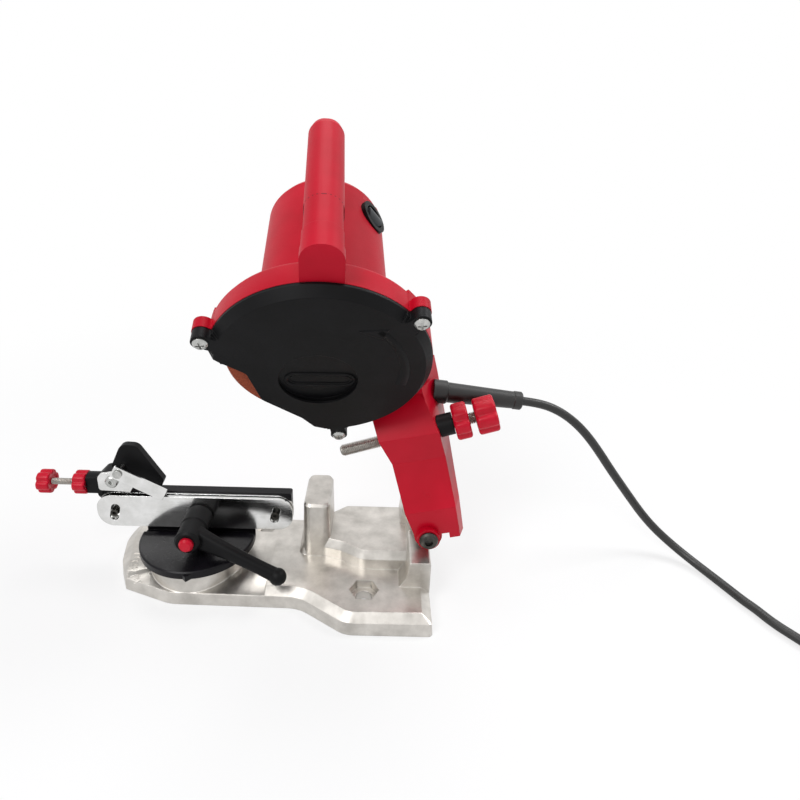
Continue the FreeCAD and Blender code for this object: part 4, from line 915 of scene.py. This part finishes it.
class GRINDER_OT_seam(bpy.types.Operator):
    """Parts the two shells of the handle with a fine dark line, a dark red strip that is painted shade in the
    gap between them
    """
    bl_idname = "grinder.seam"
    bl_label = "Handle seam"

    def execute(self, context):
        half, low, high, round_r = 10.43, 61.97, 85.63, 9.53
        grip = [(-half, low, round_r), (half, low, round_r), (half, high, round_r), (-half, high, round_r)]
        lean = 8.8
        rings = []
        # depth behind the cover's face, and how far inside the grip's outline
        for off, sunk in ((44.6, 0.2), (44.72, 0.0), (45.28, 0.0), (45.4, 0.2)):
            rings.append([(x, off, z) for x, z, _ in rounded(inset(grip, sunk), 0.0)])
        m = ring_skin("seam", rings, cap=False)
        m.transform(Matrix.Rotation(math.radians(lean), 4, "Y"))
        seam = piece("handle_seam", m, head_matrix(), "shadow_red", "head")
        return {"FINISHED"}


class GRINDER_OT_scale(bpy.types.Operator):
    """Casts the marks of the angle scale beside the turntable"""
    bl_idname = "grinder.scale"
    bl_label = "Angle scale"

    def execute(self, context):
        s = sizes()
        deck = GRINDER_OT_casting.DECK_TOP
        foot, top = deck - 0.1, deck + s.mark_height
        inner, short, long = 41.0, 44.0, 46.0
        half, taper = 0.28, 0.7
        verts, faces = [], []
        for deg in range(-30, 41, s.tick_step):
            a = math.radians(180 + deg)
            outer = long if deg % 10 == 0 else short
            e = Vector((math.cos(a), math.sin(a), 0))
            n = Vector((-e.y, e.x, 0)) * half
            i = len(verts)
            for z, k in ((foot, 1.0), (top, taper)):
                for r, w in ((inner, -1), (outer, -1), (outer, 1), (inner, 1)):
                    q = e * r + n * w * k
                    verts.append((q.x, q.y, z))
            faces.append((i + 4, i + 5, i + 6, i + 7))
            for j in range(4):
                b = (j + 1) % 4
                faces.append((i + j, i + b, i + 4 + b, i + 4 + j))
        mesh = mesh_from("scale_marks", verts, faces)
        piece("scale_marks", mesh, base_matrix(), "aluminium", "base", smooth=False)
        return {"FINISHED"}


class GRINDER_OT_cover_marks(bpy.types.Operator):
    """Embosses the plain direction arrow and the bare oval of the wheel cover"""
    bl_idname = "grinder.cover_marks"
    bl_label = "Cover marks"

    ARROW_R, ARROW_FROM, ARROW_TO = 46.5, -21.0, 41.0
    ARROW_HALF, ARROW_TAPER = 3.2, 0.45         # half width at the tail, and the share lost up to the tip
    RAISED, SUNK = -0.45, 0.1                   # depths of the arrow's top and foot behind the face
    TIP_TOP = ((36.5, 24.6), (25.0, 31.5), (39.5, 31.0), (37.5, 27.5))
    TIP_FOOT = ((36.0, 23.8), (23.6, 31.7), (40.6, 31.6), (38.3, 27.2))
    # half length, end radius, half width and height of the two lines of the oval
    OVAL = (("oval_rim", 19.6, 5.7, 0.8, 0.7), ("oval_line", 17.2, 3.9, 0.4, 0.4))
    OVAL_AT, FLOOR_TILT, OVAL_TURN = (-2.0, 2.18, -9.2), 4.7, 9.0

    def execute(self, context):
        head = head_matrix()
        path = []
        for k in range(25):
            a = math.radians(self.ARROW_FROM + (self.ARROW_TO - self.ARROW_FROM) * k / 24)
            width = 1.0 - self.ARROW_TAPER * k / 24
            path.append((self.ARROW_R * math.cos(a), self.ARROW_R * math.sin(a), width))
        shaft = ribbon("arrow_shaft", path, self.ARROW_HALF, -self.RAISED)
        piece("arrow_shaft", shaft, head, "cover_black", "head")
        verts = [(v, self.RAISED, u) for v, u in self.TIP_TOP] + [(v, self.SUNK, u) for v, u in self.TIP_FOOT]
        faces = [(0, 1, 2, 3), (4, 5, 1, 0), (5, 6, 2, 1), (6, 7, 3, 2), (7, 4, 0, 3)]
        tip = mesh_from("arrow_tip", verts, faces)
        piece("arrow_tip", tip, head, "cover_black", "head", smooth=False)
        tilt = Matrix.Rotation(math.radians(self.FLOOR_TILT), 4, "X")
        turn = Matrix.Rotation(math.radians(self.OVAL_TURN), 4, "Y")
        place = Matrix.Translation(self.OVAL_AT) @ tilt @ turn
        for name, a, b, half, high in self.OVAL:
            path = []
            for k in range(24):
                w = -math.pi / 2 + math.pi * k / 23
                path.append((a - b + b * math.cos(w), b * math.sin(w), 1.0))
            path += [(-x, -z, w) for x, z, w in path]
            m = ribbon(name, path, half, high, closed=True)
            m.transform(place)
            piece(name, m, head, "cover_black", "head")
        return {"FINISHED"}


def background_rays(tree):
    """1 on rays that see the white background: from the camera, in reflections and through glass."""
    path = add(tree, "ShaderNodeLightPath").outputs
    seen = path["Is Camera Ray"]
    for other in ("Is Glossy Ray", "Is Transmission Ray"):
        seen = add(tree, "ShaderNodeMath", {"operation": "MAXIMUM"}, {0: seen, 1: path[other]}).outputs[0]
    return seen


class GRINDER_OT_stage(bpy.types.Operator):
    """Lays a plain pale floor and sets soft lamps around the part"""
    bl_idname = "grinder.stage"
    bl_label = "Floor and light"

    # place, aim, diameter in metres and power in watts
    LAMPS = (("key", (-0.7, -0.9, 1.3), (0, 0, 0.1), 0.8, 14.0),
             ("rim", (0.9, 0.3, 1.1), (0, 0, 0.12), 0.5, 7.0),
             ("top", (0.0, 0.5, 1.5), (0, 0, 0.1), 0.7, 6.0))

    def floor(self, scene):
        """White paper, which turns into the white background away from the part's shadow."""
        mesh = mesh_from("floor", [(-6, -6, 0), (6, -6, 0), (6, 6, 0), (-6, 6, 0)], [(0, 1, 2, 3)])
        floor = bpy.data.objects.new("floor", mesh)
        floor.location.z = -0.0004
        scene.collection.objects.link(floor)
        m, t, paper = blank("paper_white_matt")
        paper.inputs["Base Color"].default_value = linear("F7F7F7")
        paper.inputs["Roughness"].default_value = 0.9
        at = add(t, "ShaderNodeTexCoord")
        away = add(t, "ShaderNodeVectorMath", {"operation": "LENGTH"}, {0: at.outputs["Object"]})
        fade = {"interpolation_type": "SMOOTHSTEP", "From Min": 0.2, "From Max": 0.75,
                "To Min": 0.7, "To Max": 1.0}
        away = add(t, "ShaderNodeMapRange", fade, {"Value": away.outputs["Value"]}).outputs["Result"]
        share = add(t, "ShaderNodeMath", {"operation": "MULTIPLY"}, {0: background_rays(t), 1: away})
        white = add(t, "ShaderNodeEmission", {"Color": (1, 1, 1, 1), "Strength": 1.0})
        shaders = {0: share.outputs[0], 1: paper.outputs[0], 2: white.outputs[0]}
        mix = add(t, "ShaderNodeMixShader", {}, shaders)
        t.links.new(mix.outputs[0], next(n for n in t.nodes if n.type == "OUTPUT_MATERIAL").inputs[0])
        mesh.materials.append(m)

    def surroundings(self, scene):
        """A faint cool fill on the part, seen as white."""
        world = bpy.data.worlds.new("studio")
        world.use_nodes = True
        t = world.node_tree
        t.nodes.clear()
        fill = add(t, "ShaderNodeBackground", {"Color": (0.94, 0.95, 1.0, 1), "Strength": 0.3})
        white = add(t, "ShaderNodeBackground", {"Color": (1, 1, 1, 1), "Strength": 1.0})
        shaders = {0: background_rays(t), 1: fill.outputs[0], 2: white.outputs[0]}
        mix = add(t, "ShaderNodeMixShader", {}, shaders)
        add(t, "ShaderNodeOutputWorld", {}, {0: mix.outputs[0]})
        scene.world = world

    def execute(self, context):
        scene = context.scene
        self.floor(scene)
        self.surroundings(scene)
        for name, at, aim, size, watts in self.LAMPS:
            data = bpy.data.lights.new(name, "AREA")
            data.shape = "DISK"
            data.size = size
            data.energy = watts * sizes().light_level
            lamp = bpy.data.objects.new(name, data)
            scene.collection.objects.link(lamp)
            lamp.location = at
            lamp.rotation_mode = "QUATERNION"
            lamp.rotation_quaternion = (Vector(aim) - Vector(at)).to_track_quat("-Z", "Y")
        scene.view_settings.view_transform = "Standard"
        return {"FINISHED"}


class GRINDER_PT_pieces(bpy.types.Panel):
    """Lists the sizes and the steps"""
    bl_label = "Chain grinder"
    bl_idname = "GRINDER_PT_pieces"
    bl_space_type = "VIEW_3D"
    bl_region_type = "UI"
    bl_category = "Chain grinder"

    def draw(self, context):
        col = self.layout.column()
        for prop in GrinderSizes.__annotations__:
            col.prop(context.scene.grinder_sizes, prop)
        for op in OPERATORS:
            col.operator(op.bl_idname)


OPERATORS = (GRINDER_OT_camera, GRINDER_OT_cord, GRINDER_OT_finishes, GRINDER_OT_threads, GRINDER_OT_knobs,
             GRINDER_OT_casting, GRINDER_OT_cover, GRINDER_OT_housing, GRINDER_OT_seam, GRINDER_OT_scale,
             GRINDER_OT_cover_marks, GRINDER_OT_stage)
CLASSES = (GrinderSizes,) + OPERATORS + (GRINDER_PT_pieces,)


def register():
    for c in CLASSES:
        bpy.utils.register_class(c)
    bpy.types.Scene.grinder_sizes = bpy.props.PointerProperty(type=GrinderSizes)


def unregister():
    del bpy.types.Scene.grinder_sizes
    for c in reversed(CLASSES):
        bpy.utils.unregister_class(c)


def main():
    register()
    bpy.ops.grinder.camera()
    bpy.ops.grinder.cord()
    bpy.ops.grinder.finishes()
    bpy.ops.grinder.threads()
    bpy.ops.grinder.knobs()
    bpy.ops.grinder.casting()
    bpy.ops.grinder.cover()
    bpy.ops.grinder.housing()
    bpy.ops.grinder.seam()
    bpy.ops.grinder.scale()
    bpy.ops.grinder.cover_marks()
    bpy.ops.grinder.stage()


if __name__ == "__main__":
    main()
